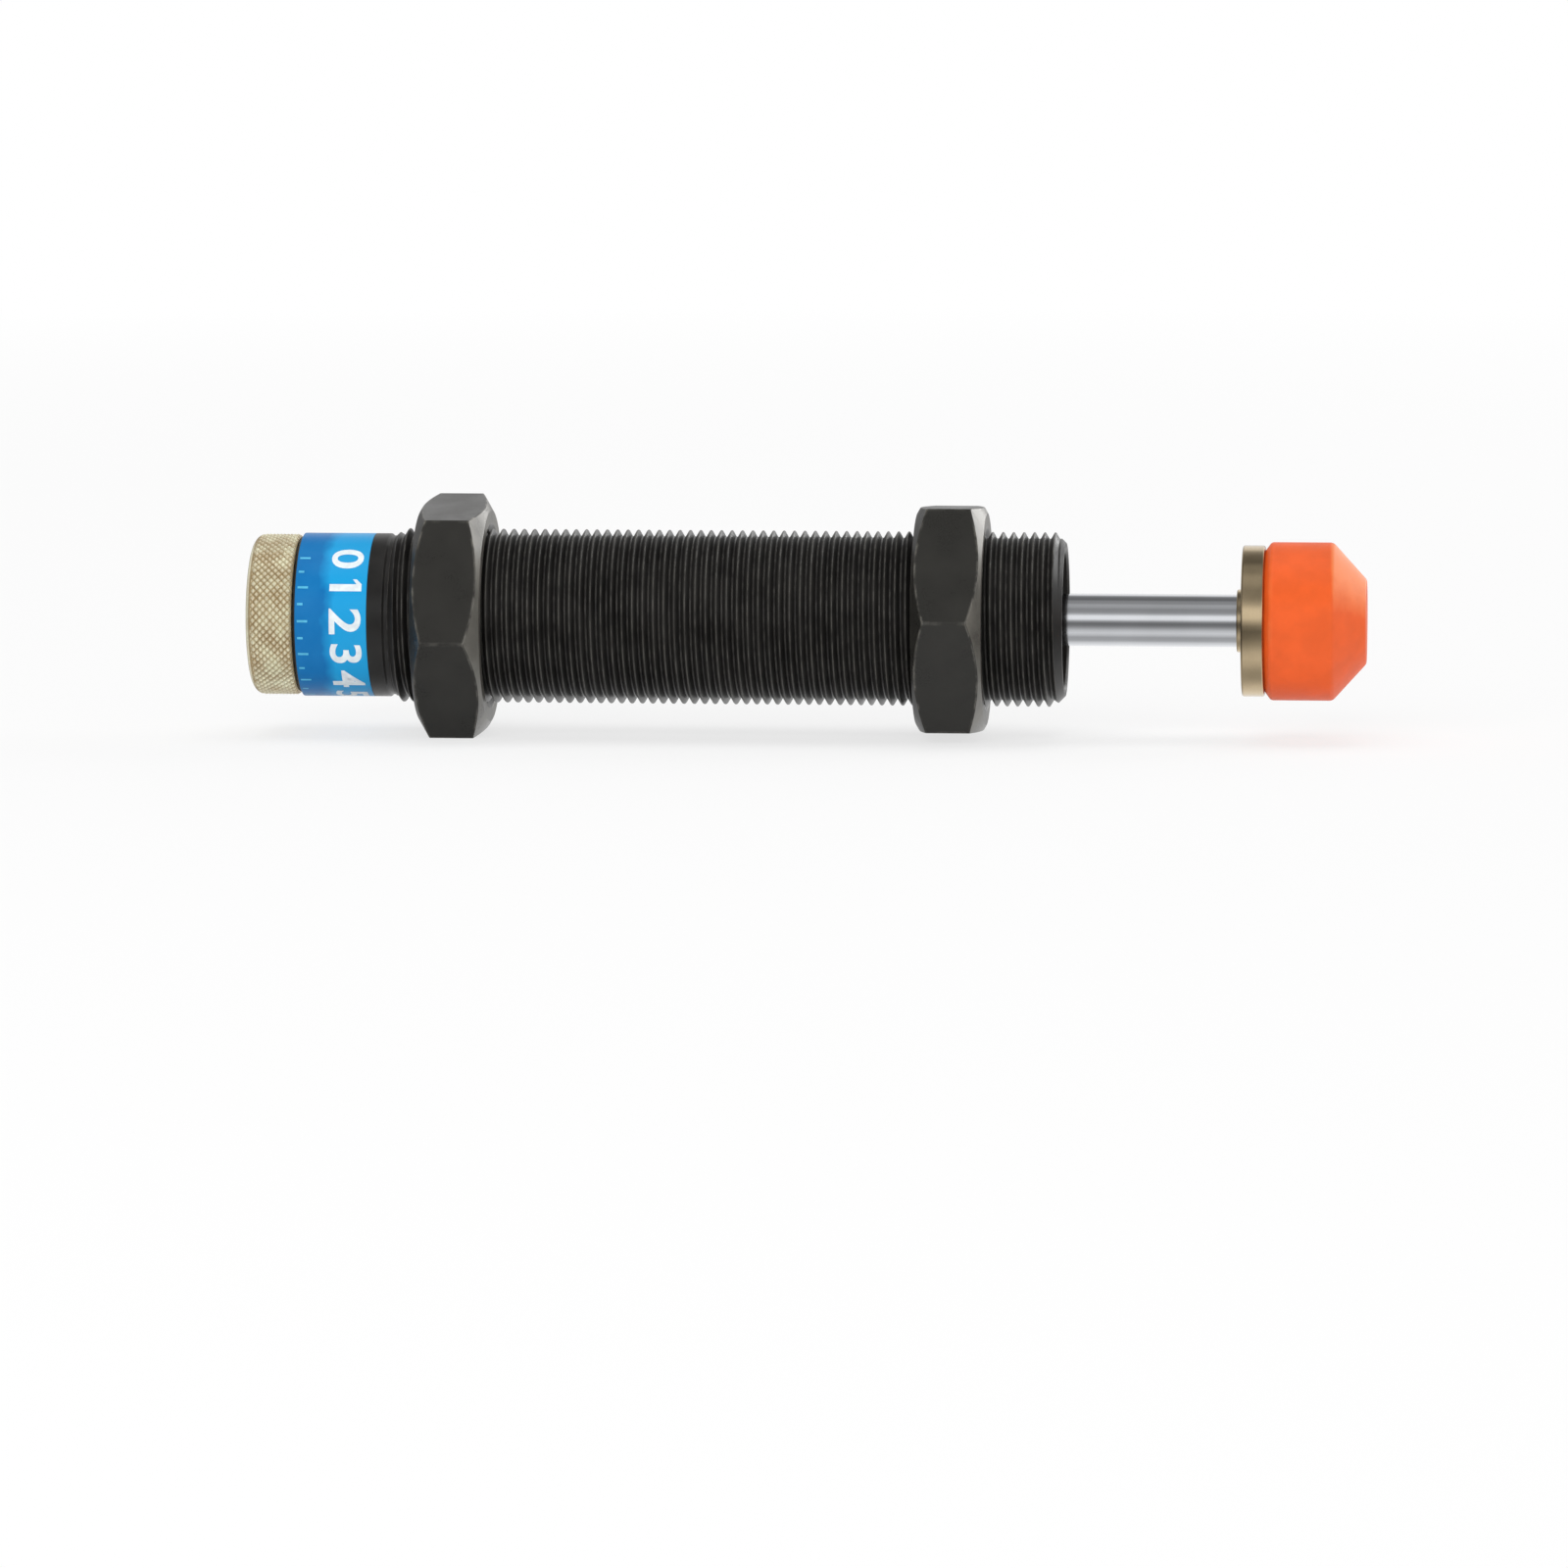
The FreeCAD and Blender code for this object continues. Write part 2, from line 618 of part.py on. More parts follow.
def spiral_section(body, start, end, offset):
    """A spiral of one turn, made of two half circles and a step, between two radii."""
    sketch = new_sketch(body, "spiral_section", "YZ_Plane", offset)
    places = {"first": start, "middle": f"-(({start}) + ({end})) / 2", "last": end}
    first, middle, last = (value(place) for place in places.values())
    up = FreeCAD.Vector(0, 0, 1)
    upper = Part.Circle(FreeCAD.Vector((first + middle) / 2, 0, 0), up, (first - middle) / 2)
    lower = Part.Circle(FreeCAD.Vector((middle + last) / 2, 0, 0), up, (last - middle) / 2)
    step = Part.LineSegment(FreeCAD.Vector(last, 0, 0), FreeCAD.Vector(first, 0, 0))
    sketch.addGeometry(Part.ArcOfCircle(upper, 0, math.pi), False)
    sketch.addGeometry(Part.ArcOfCircle(lower, math.pi, 2 * math.pi), False)
    sketch.addGeometry(step, False)
    for edge in range(3):
        sketch.addConstraint(Sketcher.Constraint("Coincident", edge, 2, (edge + 1) % 3, 1))
        sketch.addConstraint(Sketcher.Constraint("PointOnObject", edge, 1, -1))
    for arc in range(2):
        sketch.addConstraint(Sketcher.Constraint("PointOnObject", arc, 3, -1))
    for edge, (name, place) in enumerate(places.items()):
        rule = Sketcher.Constraint("DistanceX", -1, 1, edge, 1, value(place))
        sketch.renameConstraint(sketch.addConstraint(rule), name)
        sketch.setExpression(f"Constraints.{name}", bound(place))
    return sketch


def make_metering_sleeve():
    """The sleeve round the pressure tube, whose spiral recess throttles the holes as it turns."""
    body = piece("metering_sleeve", DISC_REAR, "spiral_turn")
    inner = "(tube_dia + 2 * sleeve_gap)"
    turned_tube(body, "sleeve", "sleeve_len", f"{inner} + 2 * sleeve_wall", inner)
    shallow, deep = f"{inner} / 2 + spiral_shallow", f"{inner} / 2 + spiral_deep"
    section = spiral_section(body, shallow, deep, "sleeve_len - spiral_set_back - spiral_len")
    pocketed(body, "spiral_recess", section, "spiral_len", True)


def make_adjuster_shaft():
    """The shaft from the knob through the closed end, with the disc that turns the sleeve."""
    body = piece("adjuster_shaft", STEM_REAR)
    stem, rim = "stem_dia / 2", "(tube_dia / 2 + sleeve_gap - slip)"
    clip_groove = f"({STEM_REAR} - {CIRCLIP_DEPTH})"
    ring_groove = f"({STEM_LEN} - stem_groove_deep - stem_groove_len)"
    points = [
        ("0", "0"),
        ("0", f"{stem} - edge_break"),
        ("edge_break", stem),
        (f"{clip_groove} - slip", stem),
        (f"{clip_groove} - slip", "circlip_groove_dia / 2"),
        (f"{clip_groove} + circlip_thick + slip", "circlip_groove_dia / 2"),
        (f"{clip_groove} + circlip_thick + slip", stem),
        (ring_groove, stem),
        (ring_groove, "stem_groove_dia / 2"),
        (f"{ring_groove} + stem_groove_len", "stem_groove_dia / 2"),
        (f"{ring_groove} + stem_groove_len", stem),
        (STEM_LEN, stem),
        (STEM_LEN, rim),
        (f"{STEM_LEN} + disc_len", rim),
        (f"{STEM_LEN} + disc_len", "0"),
    ]
    turned(body, "shaft", points)


def make_shaft_circlip():
    """The open clip that keeps the adjuster shaft in the closed end."""
    body = piece("shaft_circlip", CIRCLIP_DEPTH)
    rounds = [("0", "0", "circlip_dia"), ("0", "0", "circlip_groove_dia + 2 * slip")]
    padded(body, "clip", circles(body, "clip_section", "YZ_Plane", rounds), "circlip_thick")
    corners = [("circlip_mouth / 2", "0"), ("circlip_mouth / 2", "circlip_dia")]
    corners += [("-circlip_mouth / 2", "circlip_dia"), ("-circlip_mouth / 2", "0")]
    mouth = outline(body, "mouth_section", "YZ_Plane", corners)
    pocketed(body, "mouth", mouth, "circlip_thick", True)


def make_adjuster_knob():
    """The round knob with a dished rear face, a shaft socket and a cross hole for its screw."""
    body = piece("adjuster_knob", "body_len")
    front, rim = "(knob_len - knob_gap)", "knob_dia / 2"
    socket = "(stem_dia / 2 + slip)"
    points = [
        ("knob_dish_deep", "0"),
        ("knob_dish_deep", "knob_dish_dia / 2 - knob_dish_deep"),
        ("0", "knob_dish_dia / 2"),
        ("0", rim),
        (f"{front} - edge_break", rim),
        (front, f"{rim} - edge_break"),
        (front, socket),
        (f"{front} - knob_socket_len", socket),
        (f"{front} - knob_socket_len", "0"),
    ]
    turned(body, "knob", points)
    rounded(body, "rear_rounding", "knob_round", ring_edge("0", "knob_dia"))
    place = [("knob_len / 2", "0", "grub_dia")]
    cross = circles(body, "cross_hole_section", "XZ_Plane", place)
    pocketed(body, "cross_hole", cross, "knob_dia")


def make_knob_screw():
    """The set screw across the knob, on the side away from the scale's index."""
    length = "(knob_dia / 2 - grub_set_back - stem_dia / 2 - slip)"
    body = grub_screw("knob_lock_screw", "body_len - knob_len / 2", length)
    body.Placement.Rotation = FreeCAD.Rotation(FreeCAD.Vector(0, 0, 1), -90)
    body.setExpression("Placement.Base.y", bound("knob_dia / 2 - grub_set_back"))


def make_rod():
    """The hard-chromed rod, stepped at both ends for the end cap and for the piston."""
    seat = f"({STUD_LEN} + piston_dish_deep)"
    body = piece("piston_rod", f"{PISTON_FRONT} + {seat}")
    main = f"({seat} + {PISTON_FRONT} + stroke + stop_gap - cap_boss_len)"
    points = [
        ("0", "0"),
        ("0", "piston_stud_dia / 2 - edge_break"),
        ("edge_break", "piston_stud_dia / 2"),
        (STUD_LEN, "piston_stud_dia / 2"),
        (STUD_LEN, "piston_seat_dia / 2"),
        (seat, "piston_seat_dia / 2"),
        (seat, "rod_dia / 2"),
        (main, "rod_dia / 2"),
        (main, "rod_stud_dia / 2"),
        (f"{main} + rod_stud_len - edge_break", "rod_stud_dia / 2"),
        (f"{main} + rod_stud_len", "rod_stud_dia / 2 - edge_break"),
        (f"{main} + rod_stud_len", "0"),
    ]
    turned(body, "rod", points)


def make_piston():
    """The piston with a recess for the check disc, a ring groove and a circle of oil ports."""
    body = piece("piston", f"{PISTON_FRONT} + piston_len")
    stud, rim = "(piston_stud_dia / 2 + slip)", "piston_dia / 2"
    hub, recess = "piston_hub_dia / 2", "check_recess_dia / 2"
    floor = "(piston_len - piston_dish_deep)"
    groove_end = "piston_groove_deep + piston_groove_len"
    points = [
        ("0", stud),
        ("0", hub),
        ("check_recess_deep", hub),
        ("check_recess_deep", recess),
        ("0", recess),
        ("0", f"{rim} - edge_break"),
        ("edge_break", rim),
        ("piston_groove_deep", rim),
        ("piston_groove_deep", "piston_groove_dia / 2"),
        (groove_end, "piston_groove_dia / 2"),
        (groove_end, rim),
        ("piston_len", rim),
        ("piston_len", "piston_dish_dia / 2"),
        (floor, "piston_dish_dia / 2"),
        (floor, stud),
    ]
    turned(body, "piston_blank", points)
    place = [("piston_port_radius", "0", "piston_port_dia")]
    sketch = circles(body, "port_section", "YZ_Plane", place)
    port = pocketed(body, "port", sketch, "piston_len", True)
    ports = patterned(body, "PolarPattern", "ports", port, "piston_port_count")
    ports.Axis = (sketch, ["N_Axis"])
    ports.Angle = 360
    check_cut(ports, port.Shape.Volume)


def make_check_disc():
    """The loose disc that lets oil through the piston's ports on the return stroke only."""
    recess_floor = f"{PISTON_FRONT} + piston_len - check_recess_deep"
    body = piece("check_disc", f"{recess_floor} + check_gap + check_disc_len")
    bore = "piston_hub_dia + 2 * running"
    turned_tube(body, "disc", "check_disc_len", "check_disc_dia", bore)


def make_piston_ring():
    """The split ring in the piston's groove."""
    body = piece("piston_ring", f"{PISTON_FRONT} + piston_len - piston_groove_deep - slip")
    outer, inner = "tube_bore - 2 * running", "piston_groove_dia + 2 * slip"
    turned_tube(body, "ring", "piston_groove_len - 2 * slip", outer, inner)
    corners = [("ring_gap / 2", "0"), ("ring_gap / 2", "tube_bore")]
    corners += [("-ring_gap / 2", "tube_bore"), ("-ring_gap / 2", "0")]
    split = outline(body, "split_section", "YZ_Plane", corners)
    pocketed(body, "split", split, "piston_groove_len", True)


def make_return_spring():
    """The compression spring between the tube's base and the piston."""
    front = f"({PISTON_FRONT} + piston_len + spring_seat_gap)"
    rear = f"({TUBE_REAR} - base_plug_len - spring_seat_gap)"
    body = piece("return_spring", rear)
    wire = [("spring_wire / 2", "spring_mean_dia / 2", "spring_wire")]
    coil = body.newObject("PartDesign::AdditiveHelix", "coil")
    coil.Profile = circles(body, "wire_section", "XY_Plane", wire)
    coil.ReferenceAxis = (coil.Profile[0], ["H_Axis"])
    coil.Mode = "height-turns-angle"
    coil.setExpression("Height", bound(f"{rear} - {front} - spring_wire"))
    coil.setExpression("Turns", bound("spring_turns"))
    body.Tip = coil


def make_end_cap():
    """The steel cap on the rod, with a boss behind it and a barbed stud for the bumper."""
    body = piece("rod_end_cap", "cap_boss_len - stroke - stop_gap")
    front = "(cap_boss_len + cap_len)"
    head = f"({front} + barb_neck_len)"
    rim, stud = "cap_dia / 2", "(rod_stud_dia / 2 + slip)"
    points = [
        ("0", stud),
        ("0", "cap_boss_dia / 2 - edge_break"),
        ("edge_break", "cap_boss_dia / 2"),
        ("cap_boss_len", "cap_boss_dia / 2"),
        ("cap_boss_len", f"{rim} - edge_break"),
        ("cap_boss_len + edge_break", rim),
        (f"{front} - edge_break", rim),
        (front, f"{rim} - edge_break"),
        (front, "barb_neck_dia / 2"),
        (head, "barb_neck_dia / 2"),
        (head, "barb_head_dia / 2"),
        (f"{head} + barb_head_len / 2", "barb_head_dia / 2"),
        (f"{head} + barb_head_len", "barb_neck_dia / 2"),
        (f"{head} + barb_head_len", "0"),
        ("rod_stud_len + slip", "0"),
        ("rod_stud_len + slip", stud),
    ]
    turned(body, "cap", points)


def make_bumper():
    """The urethane bumper, snapped over the barbed stud, with a coned front."""
    body = piece("urethane_bumper", "-stroke - stop_gap - cap_len")
    rim, hole = "bumper_dia / 2", "(barb_neck_dia / 2 + slip)"
    head = "(barb_head_dia / 2 + slip)"
    hollow_end = "barb_neck_len + barb_head_len + slip"
    points = [
        ("0", hole),
        ("0", f"{rim} - 1.4 * bumper_lip"),
        ("bumper_lip", rim),
        (f"{BUMPER_LEN} - bumper_cone_len", rim),
        (BUMPER_LEN, "bumper_face_dia / 2"),
        (BUMPER_LEN, "0"),
        (hollow_end, "0"),
        (hollow_end, hole),
        ("barb_neck_len + barb_head_len / 2", head),
        ("barb_neck_len - slip", head),
        ("barb_neck_len - slip", hole),
    ]
    turned(body, "bumper", points)
    shoulder = ring_edge(f"{BUMPER_LEN} - bumper_cone_len", "bumper_dia")
    nose = ring_edge(BUMPER_LEN, "bumper_face_dia")
    lip = ring_edge("bumper_lip", "bumper_dia")
    rounded(body, "soft_edges", "bumper_round", lambda edge: shoulder(edge) or nose(edge) or lip(edge))


def make_everything():
    """Builds each piece, from the outside inwards and then the moving groups."""
    make_outer_body()
    make_scale_label()
    nut_bore = "thread_dia + 2 * nut_clearance"
    hex_nut("front_lock_nut", "front_nut_depth", "nut_flats", "nut_thick", nut_bore, "front_nut_turn")
    hex_nut("rear_lock_nut", "rear_nut_depth", "nut_flats", "nut_thick", nut_bore, "rear_nut_turn")
    make_retaining_ring()
    make_front_bearing()
    make_wiper_seal()
    make_rod_seal()
    make_rod_guide()
    groove_middle = f"{BEARING_REAR} + guide_flange_len - cord_groove_len"
    guide_mean = "(bore_dia + cord_groove_dia) / 2"
    make_ring_seal("guide_ring_seal", groove_middle, guide_mean, "bore_dia / 2 - cord_groove_dia / 2 - 2 * slip")
    make_accumulator_foam()
    make_pressure_tube()
    make_tube_base()
    grub_screw("fill_screw", SHELL_LEN, "fill_screw_len").setExpression(
        "Placement.Base.z", bound("-fill_offset")
    )
    make_metering_sleeve()
    make_adjuster_shaft()
    make_shaft_circlip()
    ring_middle = f"{DISC_REAR} + stem_groove_deep + stem_groove_len / 2"
    stem_mean = "(stem_dia + stem_groove_dia) / 2"
    make_ring_seal("shaft_ring_seal", ring_middle, stem_mean, "stem_ring_dia")
    make_adjuster_knob()
    make_knob_screw()
    make_rod()
    make_piston()
    make_check_disc()
    make_piston_ring()
    nut_depth = f"{PISTON_FRONT} + piston_len + piston_nut_thick"
    stud_bore = "piston_stud_dia + 2 * slip"
    hex_nut("piston_nut", nut_depth, "piston_nut_flats", "piston_nut_thick", stud_bore)
    make_return_spring()
    make_end_cap()
    make_bumper()


def write_parts():
    """Checks every object of the document, then writes each piece to its own file."""
    doc.recompute()
    for item in doc.Objects:
        if {"Invalid", "Error"} & set(item.State):
            raise RuntimeError(f"{item.Label} did not build: {item.State}")
    pieces = [item for item in doc.Objects if item.TypeId == "PartDesign::Body"]
    for body in pieces:
        shape = body.Shape
        if shape.isNull() or not shape.isValid() or not shape.Solids:
            raise RuntimeError(f"{body.Label} has no valid solid")
    os.makedirs("parts", exist_ok=True)
    for body in pieces:
        body.Shape.exportStep(f"parts/{body.Label}.step")
        print(f"{body.Label}: {len(body.Shape.Solids)} solid, {body.Shape.Volume:.1f} mm3")


make_everything()
write_parts()
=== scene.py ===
"""Dressed model of an adjustable hydraulic shock absorber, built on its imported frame.

The axis of the absorber is X, the origin is the middle of the body's front face, and Z is up.
The classes hold their sizes in millimetres. The meshes that they make are in metres.
"""
import logging
import math
from collections.abc import Sequence
from dataclasses import dataclass, field
from enum import Enum

import bmesh
import bpy
import numpy as np
from mathutils import Matrix, Vector


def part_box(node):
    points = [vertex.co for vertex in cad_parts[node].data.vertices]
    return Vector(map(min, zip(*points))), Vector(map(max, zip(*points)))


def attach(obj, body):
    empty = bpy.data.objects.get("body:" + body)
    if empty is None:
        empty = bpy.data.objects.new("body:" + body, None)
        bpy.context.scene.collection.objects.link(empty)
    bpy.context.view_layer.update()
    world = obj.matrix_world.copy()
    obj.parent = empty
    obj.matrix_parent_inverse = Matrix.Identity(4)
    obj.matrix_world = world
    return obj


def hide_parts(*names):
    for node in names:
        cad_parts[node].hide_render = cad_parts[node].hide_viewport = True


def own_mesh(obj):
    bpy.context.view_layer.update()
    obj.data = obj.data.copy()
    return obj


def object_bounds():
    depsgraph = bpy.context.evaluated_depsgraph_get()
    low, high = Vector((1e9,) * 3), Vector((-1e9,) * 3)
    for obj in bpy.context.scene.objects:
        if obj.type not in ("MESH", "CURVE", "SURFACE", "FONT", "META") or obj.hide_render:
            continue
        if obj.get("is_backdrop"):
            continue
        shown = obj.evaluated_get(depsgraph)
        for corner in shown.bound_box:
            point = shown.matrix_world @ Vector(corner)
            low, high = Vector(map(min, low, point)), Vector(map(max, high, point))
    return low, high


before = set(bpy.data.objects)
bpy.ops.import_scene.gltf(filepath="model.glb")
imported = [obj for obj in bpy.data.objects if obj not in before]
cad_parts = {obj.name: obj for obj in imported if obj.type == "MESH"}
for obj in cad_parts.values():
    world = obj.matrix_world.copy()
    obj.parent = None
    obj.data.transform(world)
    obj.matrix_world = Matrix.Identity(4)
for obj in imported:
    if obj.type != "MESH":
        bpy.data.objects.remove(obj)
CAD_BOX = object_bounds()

MM = 0.001
JOIN_WITHIN = 2e-7  # metres
THIN_EDGE = 1e-7  # metres
CRISP_TURN = 40.0  # degrees
DRILL_SIDES = 48
DRILL_LEAD = 1.0  # millimetres that a drill starts outside the material, or ends past it
log = logging.getLogger("absorber")

# The curve from a screen's levels to linear values: a straight foot, then a power
SCREEN_WHITE = 255
SCREEN_FOOT = 0.04045
SCREEN_SLOPE = 12.92
SCREEN_OFFSET = 0.055
SCREEN_POWER = 2.4

# The sockets of a Mix node of colours, whose names aren't all different
MIX_SHARE, MIX_FIRST, MIX_SECOND = 0, 6, 7
MIX_RESULT = 2

Triple = tuple[float, float, float]
Colour = Triple
Span = tuple[float, float]
Corner = Span | Triple
Numbers = np.ndarray | float
Value = float | Sequence[float] | bpy.types.NodeSocket


class Body(Enum):
    """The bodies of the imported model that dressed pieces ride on."""

    HOUSING = "housing"
    ADJUSTER = "adjuster"
    PLUNGER = "plunger"
    REAR_NUT = "rear_nut"
    FRONT_NUT = "front_nut"


class Slot(Enum):
    """The material slots, one given with each dressed piece along with its finish."""

    BODY_STEEL = "body_steel"
    NUT_STEEL = "nut_steel"
    SCALE_FILM = "scale_film"
    KNOB_NICKEL = "knob_nickel"
    CAP_STEEL = "cap_steel"
    BUMPER_URETHANE = "bumper_urethane"
    SPRING_STEEL = "spring_steel"


class Axis(Enum):
    """A direction for a drilled hole or a rubbed face."""

    ALONG = (1.0, 0.0, 0.0)
    ACROSS = (0.0, 1.0, 0.0)


# Shapes


def softened(corners: Sequence[Corner], steps: int = 4) -> np.ndarray:
    """Rounds the corners of a line or closed loop.

    Args:
        corners: Places along the axis and radii, in order, and for each corner that isn't sharp
            the radius of its rounding. The first and last corners count as neighbours.
        steps: How many edges a rounded corner is made of.

    Returns:
        The rounded line as rows of two numbers.
    """
    places = [np.array(corner[:2], float) for corner in corners]
    made: list[np.ndarray] = []
    for i, (_, _, *rounding) in enumerate(corners):
        corner = places[i]
        if not rounding:
            made.append(corner)
            continue
        radius = rounding[0]
        before = places[i - 1] - corner
        after = places[(i + 1) % len(places)] - corner
        before /= np.linalg.norm(before)
        after /= np.linalg.norm(after)
        half = math.acos(float(np.clip(before @ after, -1, 1))) / 2
        inward = (before + after) / np.linalg.norm(before + after)
        centre = corner + inward * radius / math.sin(half)
        first = corner + before * radius / math.tan(half) - centre
        last = corner + after * radius / math.tan(half) - centre
        turn = math.pi - 2 * half
        for step in range(steps + 1):
            share = step / steps
            ends = math.sin((1 - share) * turn) * first + math.sin(share * turn) * last
            made.append(centre + ends / math.sin(turn))
    return np.array(made)


def round_angles(steps: int) -> np.ndarray:
    """Even steps once round the axis, in radians."""
    return np.arange(steps) * 2 * math.pi / steps


def ring(along: Numbers, radius: Numbers, angle: Numbers) -> np.ndarray:
    """Points from their places along the axis, radii and angles from +Y about +X."""
    sides = np.broadcast_arrays(along, radius * np.cos(angle), radius * np.sin(angle))
    return np.stack(sides, axis=-1)


def turned(profile: np.ndarray, columns: int) -> np.ndarray:
    """A profile turned about the axis, as a grid with a row for each of its points."""
    return ring(profile[:, :1], profile[:, 1:], round_angles(columns))


def linked(name: str, data: bpy.types.ID) -> bpy.types.Object:
    """Puts data into the scene.

    Args:
        name: The object's name.
        data: What it holds: a mesh, a curve, a lamp or a camera.

    Returns:
        The object.
    """
    made = bpy.data.objects.new(name, data)
    bpy.context.scene.collection.objects.link(made)
    return made


def worked_out(piece: bpy.types.Object) -> bpy.types.Mesh:
    """A new mesh of a piece, with its modifiers or its letters worked out."""
    evaluated = piece.evaluated_get(bpy.context.evaluated_depsgraph_get())
    return bpy.data.meshes.new_from_object(evaluated)


def smooth(piece: bpy.types.Object, crisp: float = CRISP_TURN) -> None:
    """Shades a piece smooth between its crisp edges, with flat faces kept flat.

    Args:
        piece: The piece.
        crisp: Edges that turn by more than this many degrees stay crisp.
    """
    piece.data.shade_smooth()
    piece.data.set_sharp_from_angle(angle=math.radians(crisp))
    even = piece.modifiers.new("even_normals", "WEIGHTED_NORMAL")
    even.keep_sharp = True


class Draft:
    """A mesh in the making, in millimetres."""

    def __init__(self) -> None:
        """Starts with no points and no faces."""
        self.points: list[np.ndarray] = []
        self.faces: list[tuple[int, ...]] = []
        self.count = 0

    def take(self, points: np.ndarray) -> int:
        """Adds points.

        Args:
            points: The points, in rows or in a grid.

        Returns:
            The number of the first one.
        """
        first = self.count
        self.points.append(points.reshape(-1, 3))
        self.count += points.size // 3
        return first

    def grid(self, points: np.ndarray, around: int = 0, loop: bool = False) -> None:
        """Adds a sheet of four-sided faces whose last column joins its first.

        Args:
            points: The points, in rows and columns.
            around: How many rows the last column is ahead of the first.
            loop: Whether the last row joins the first.
        """
        rows, columns = points.shape[:2]
        number = self.take(points) + np.arange(rows * columns).reshape(rows, columns)
        seam = np.roll(number[:, :1], -around, axis=0)
        number = np.concatenate([number, seam], axis=1)
        if loop:
            number = np.concatenate([number, number[:1]], axis=0)
        quads = np.stack([number[:-1, :-1], number[:-1, 1:], number[1:, 1:], number[1:, :-1]], axis=-1)
        if around:
            whole = rows - around - 1
            quads = np.concatenate([quads[:whole].reshape(-1, 4), quads[whole:, :-1].reshape(-1, 4)])
        self.faces += [tuple(quad) for quad in quads.reshape(-1, 4).tolist()]

    def finish(self, name: str, crisp: float = CRISP_TURN) -> bpy.types.Object:
        """Makes the object, with doubled points joined and the normals outwards.

        Args:
            name: The piece's name.
            crisp: Edges that turn by more than this many degrees stay crisp.

        Returns:
            The object, linked to the scene.
        """
        mesh = bpy.data.meshes.new(name)
        points = np.concatenate(self.points) * MM
        mesh.from_pydata(points.tolist(), [], self.faces)
        shape = bmesh.new()
        shape.from_mesh(mesh)
        bmesh.ops.remove_doubles(shape, verts=shape.verts, dist=JOIN_WITHIN)
        bmesh.ops.dissolve_degenerate(shape, edges=shape.edges, dist=THIN_EDGE)
        bmesh.ops.recalc_face_normals(shape, faces=shape.faces)
        shape.to_mesh(mesh)
        shape.free()
        made = linked(name, mesh)
        smooth(made, crisp)
        return made


def lathed(name: str, corners: Sequence[Corner], columns: int, steps: int = 4) -> bpy.types.Object:
    """Makes a piece by turning a closed outline about the axis.

    Args:
        name: The piece's name.
        corners: The outline, as softened takes it.
        columns: How many faces go round.
        steps: How many edges a rounded corner is made of.

    Returns:
        The piece.
    """
    draft = Draft()
    draft.grid(turned(softened(corners, steps), columns), loop=True)
    return draft.finish(name)


def drilled(piece: bpy.types.Object, start: Vector, axis: Axis, radius: float, depth: float) -> None:
    """Cuts a round hole into a piece.

    Args:
        piece: The piece that is cut.
        start: Where the drill's rear end stands, in millimetres.
        axis: The direction into the material.
        radius: The hole's radius, in millimetres.
        depth: How far the drill reaches from its start, in millimetres.
    """
    cutter = bpy.data.meshes.new("drill")
    shape = bmesh.new()
    way = Vector(axis.value)
    turn = Vector((0, 0, 1)).rotation_difference(way).to_matrix().to_4x4()
    place = Matrix.Translation((start + way * depth / 2) * MM) @ turn
    bmesh.ops.create_cone(
        shape, cap_ends=True, segments=DRILL_SIDES, radius1=radius * MM, radius2=radius * MM,
        depth=depth * MM, matrix=place,
    )
    shape.to_mesh(cutter)
    shape.free()
    drill = linked("drill", cutter)
    piece.modifiers.clear()
    cut = piece.modifiers.new("cut", "BOOLEAN")
    cut.object = drill
    cut.solver = "EXACT"
    piece.data = worked_out(piece)
    piece.modifiers.clear()
    bpy.data.objects.remove(drill)
    smooth(piece)


# Node trees


def light_of(level: int) -> float:
    """The linear value of one channel of a screen's colour.

    Args:
        level: The channel's level on the screen, from 0 to 255.

    Returns:
        The value, from 0 to 1.
    """
    share = level / SCREEN_WHITE
    if share <= SCREEN_FOOT:
        return share / SCREEN_SLOPE
    return ((share + SCREEN_OFFSET) / (1 + SCREEN_OFFSET)) ** SCREEN_POWER


def linear(red: int, green: int, blue: int) -> Colour:
    """A colour as it shows on a screen, in the renderer's linear values."""
    return light_of(red), light_of(green), light_of(blue)


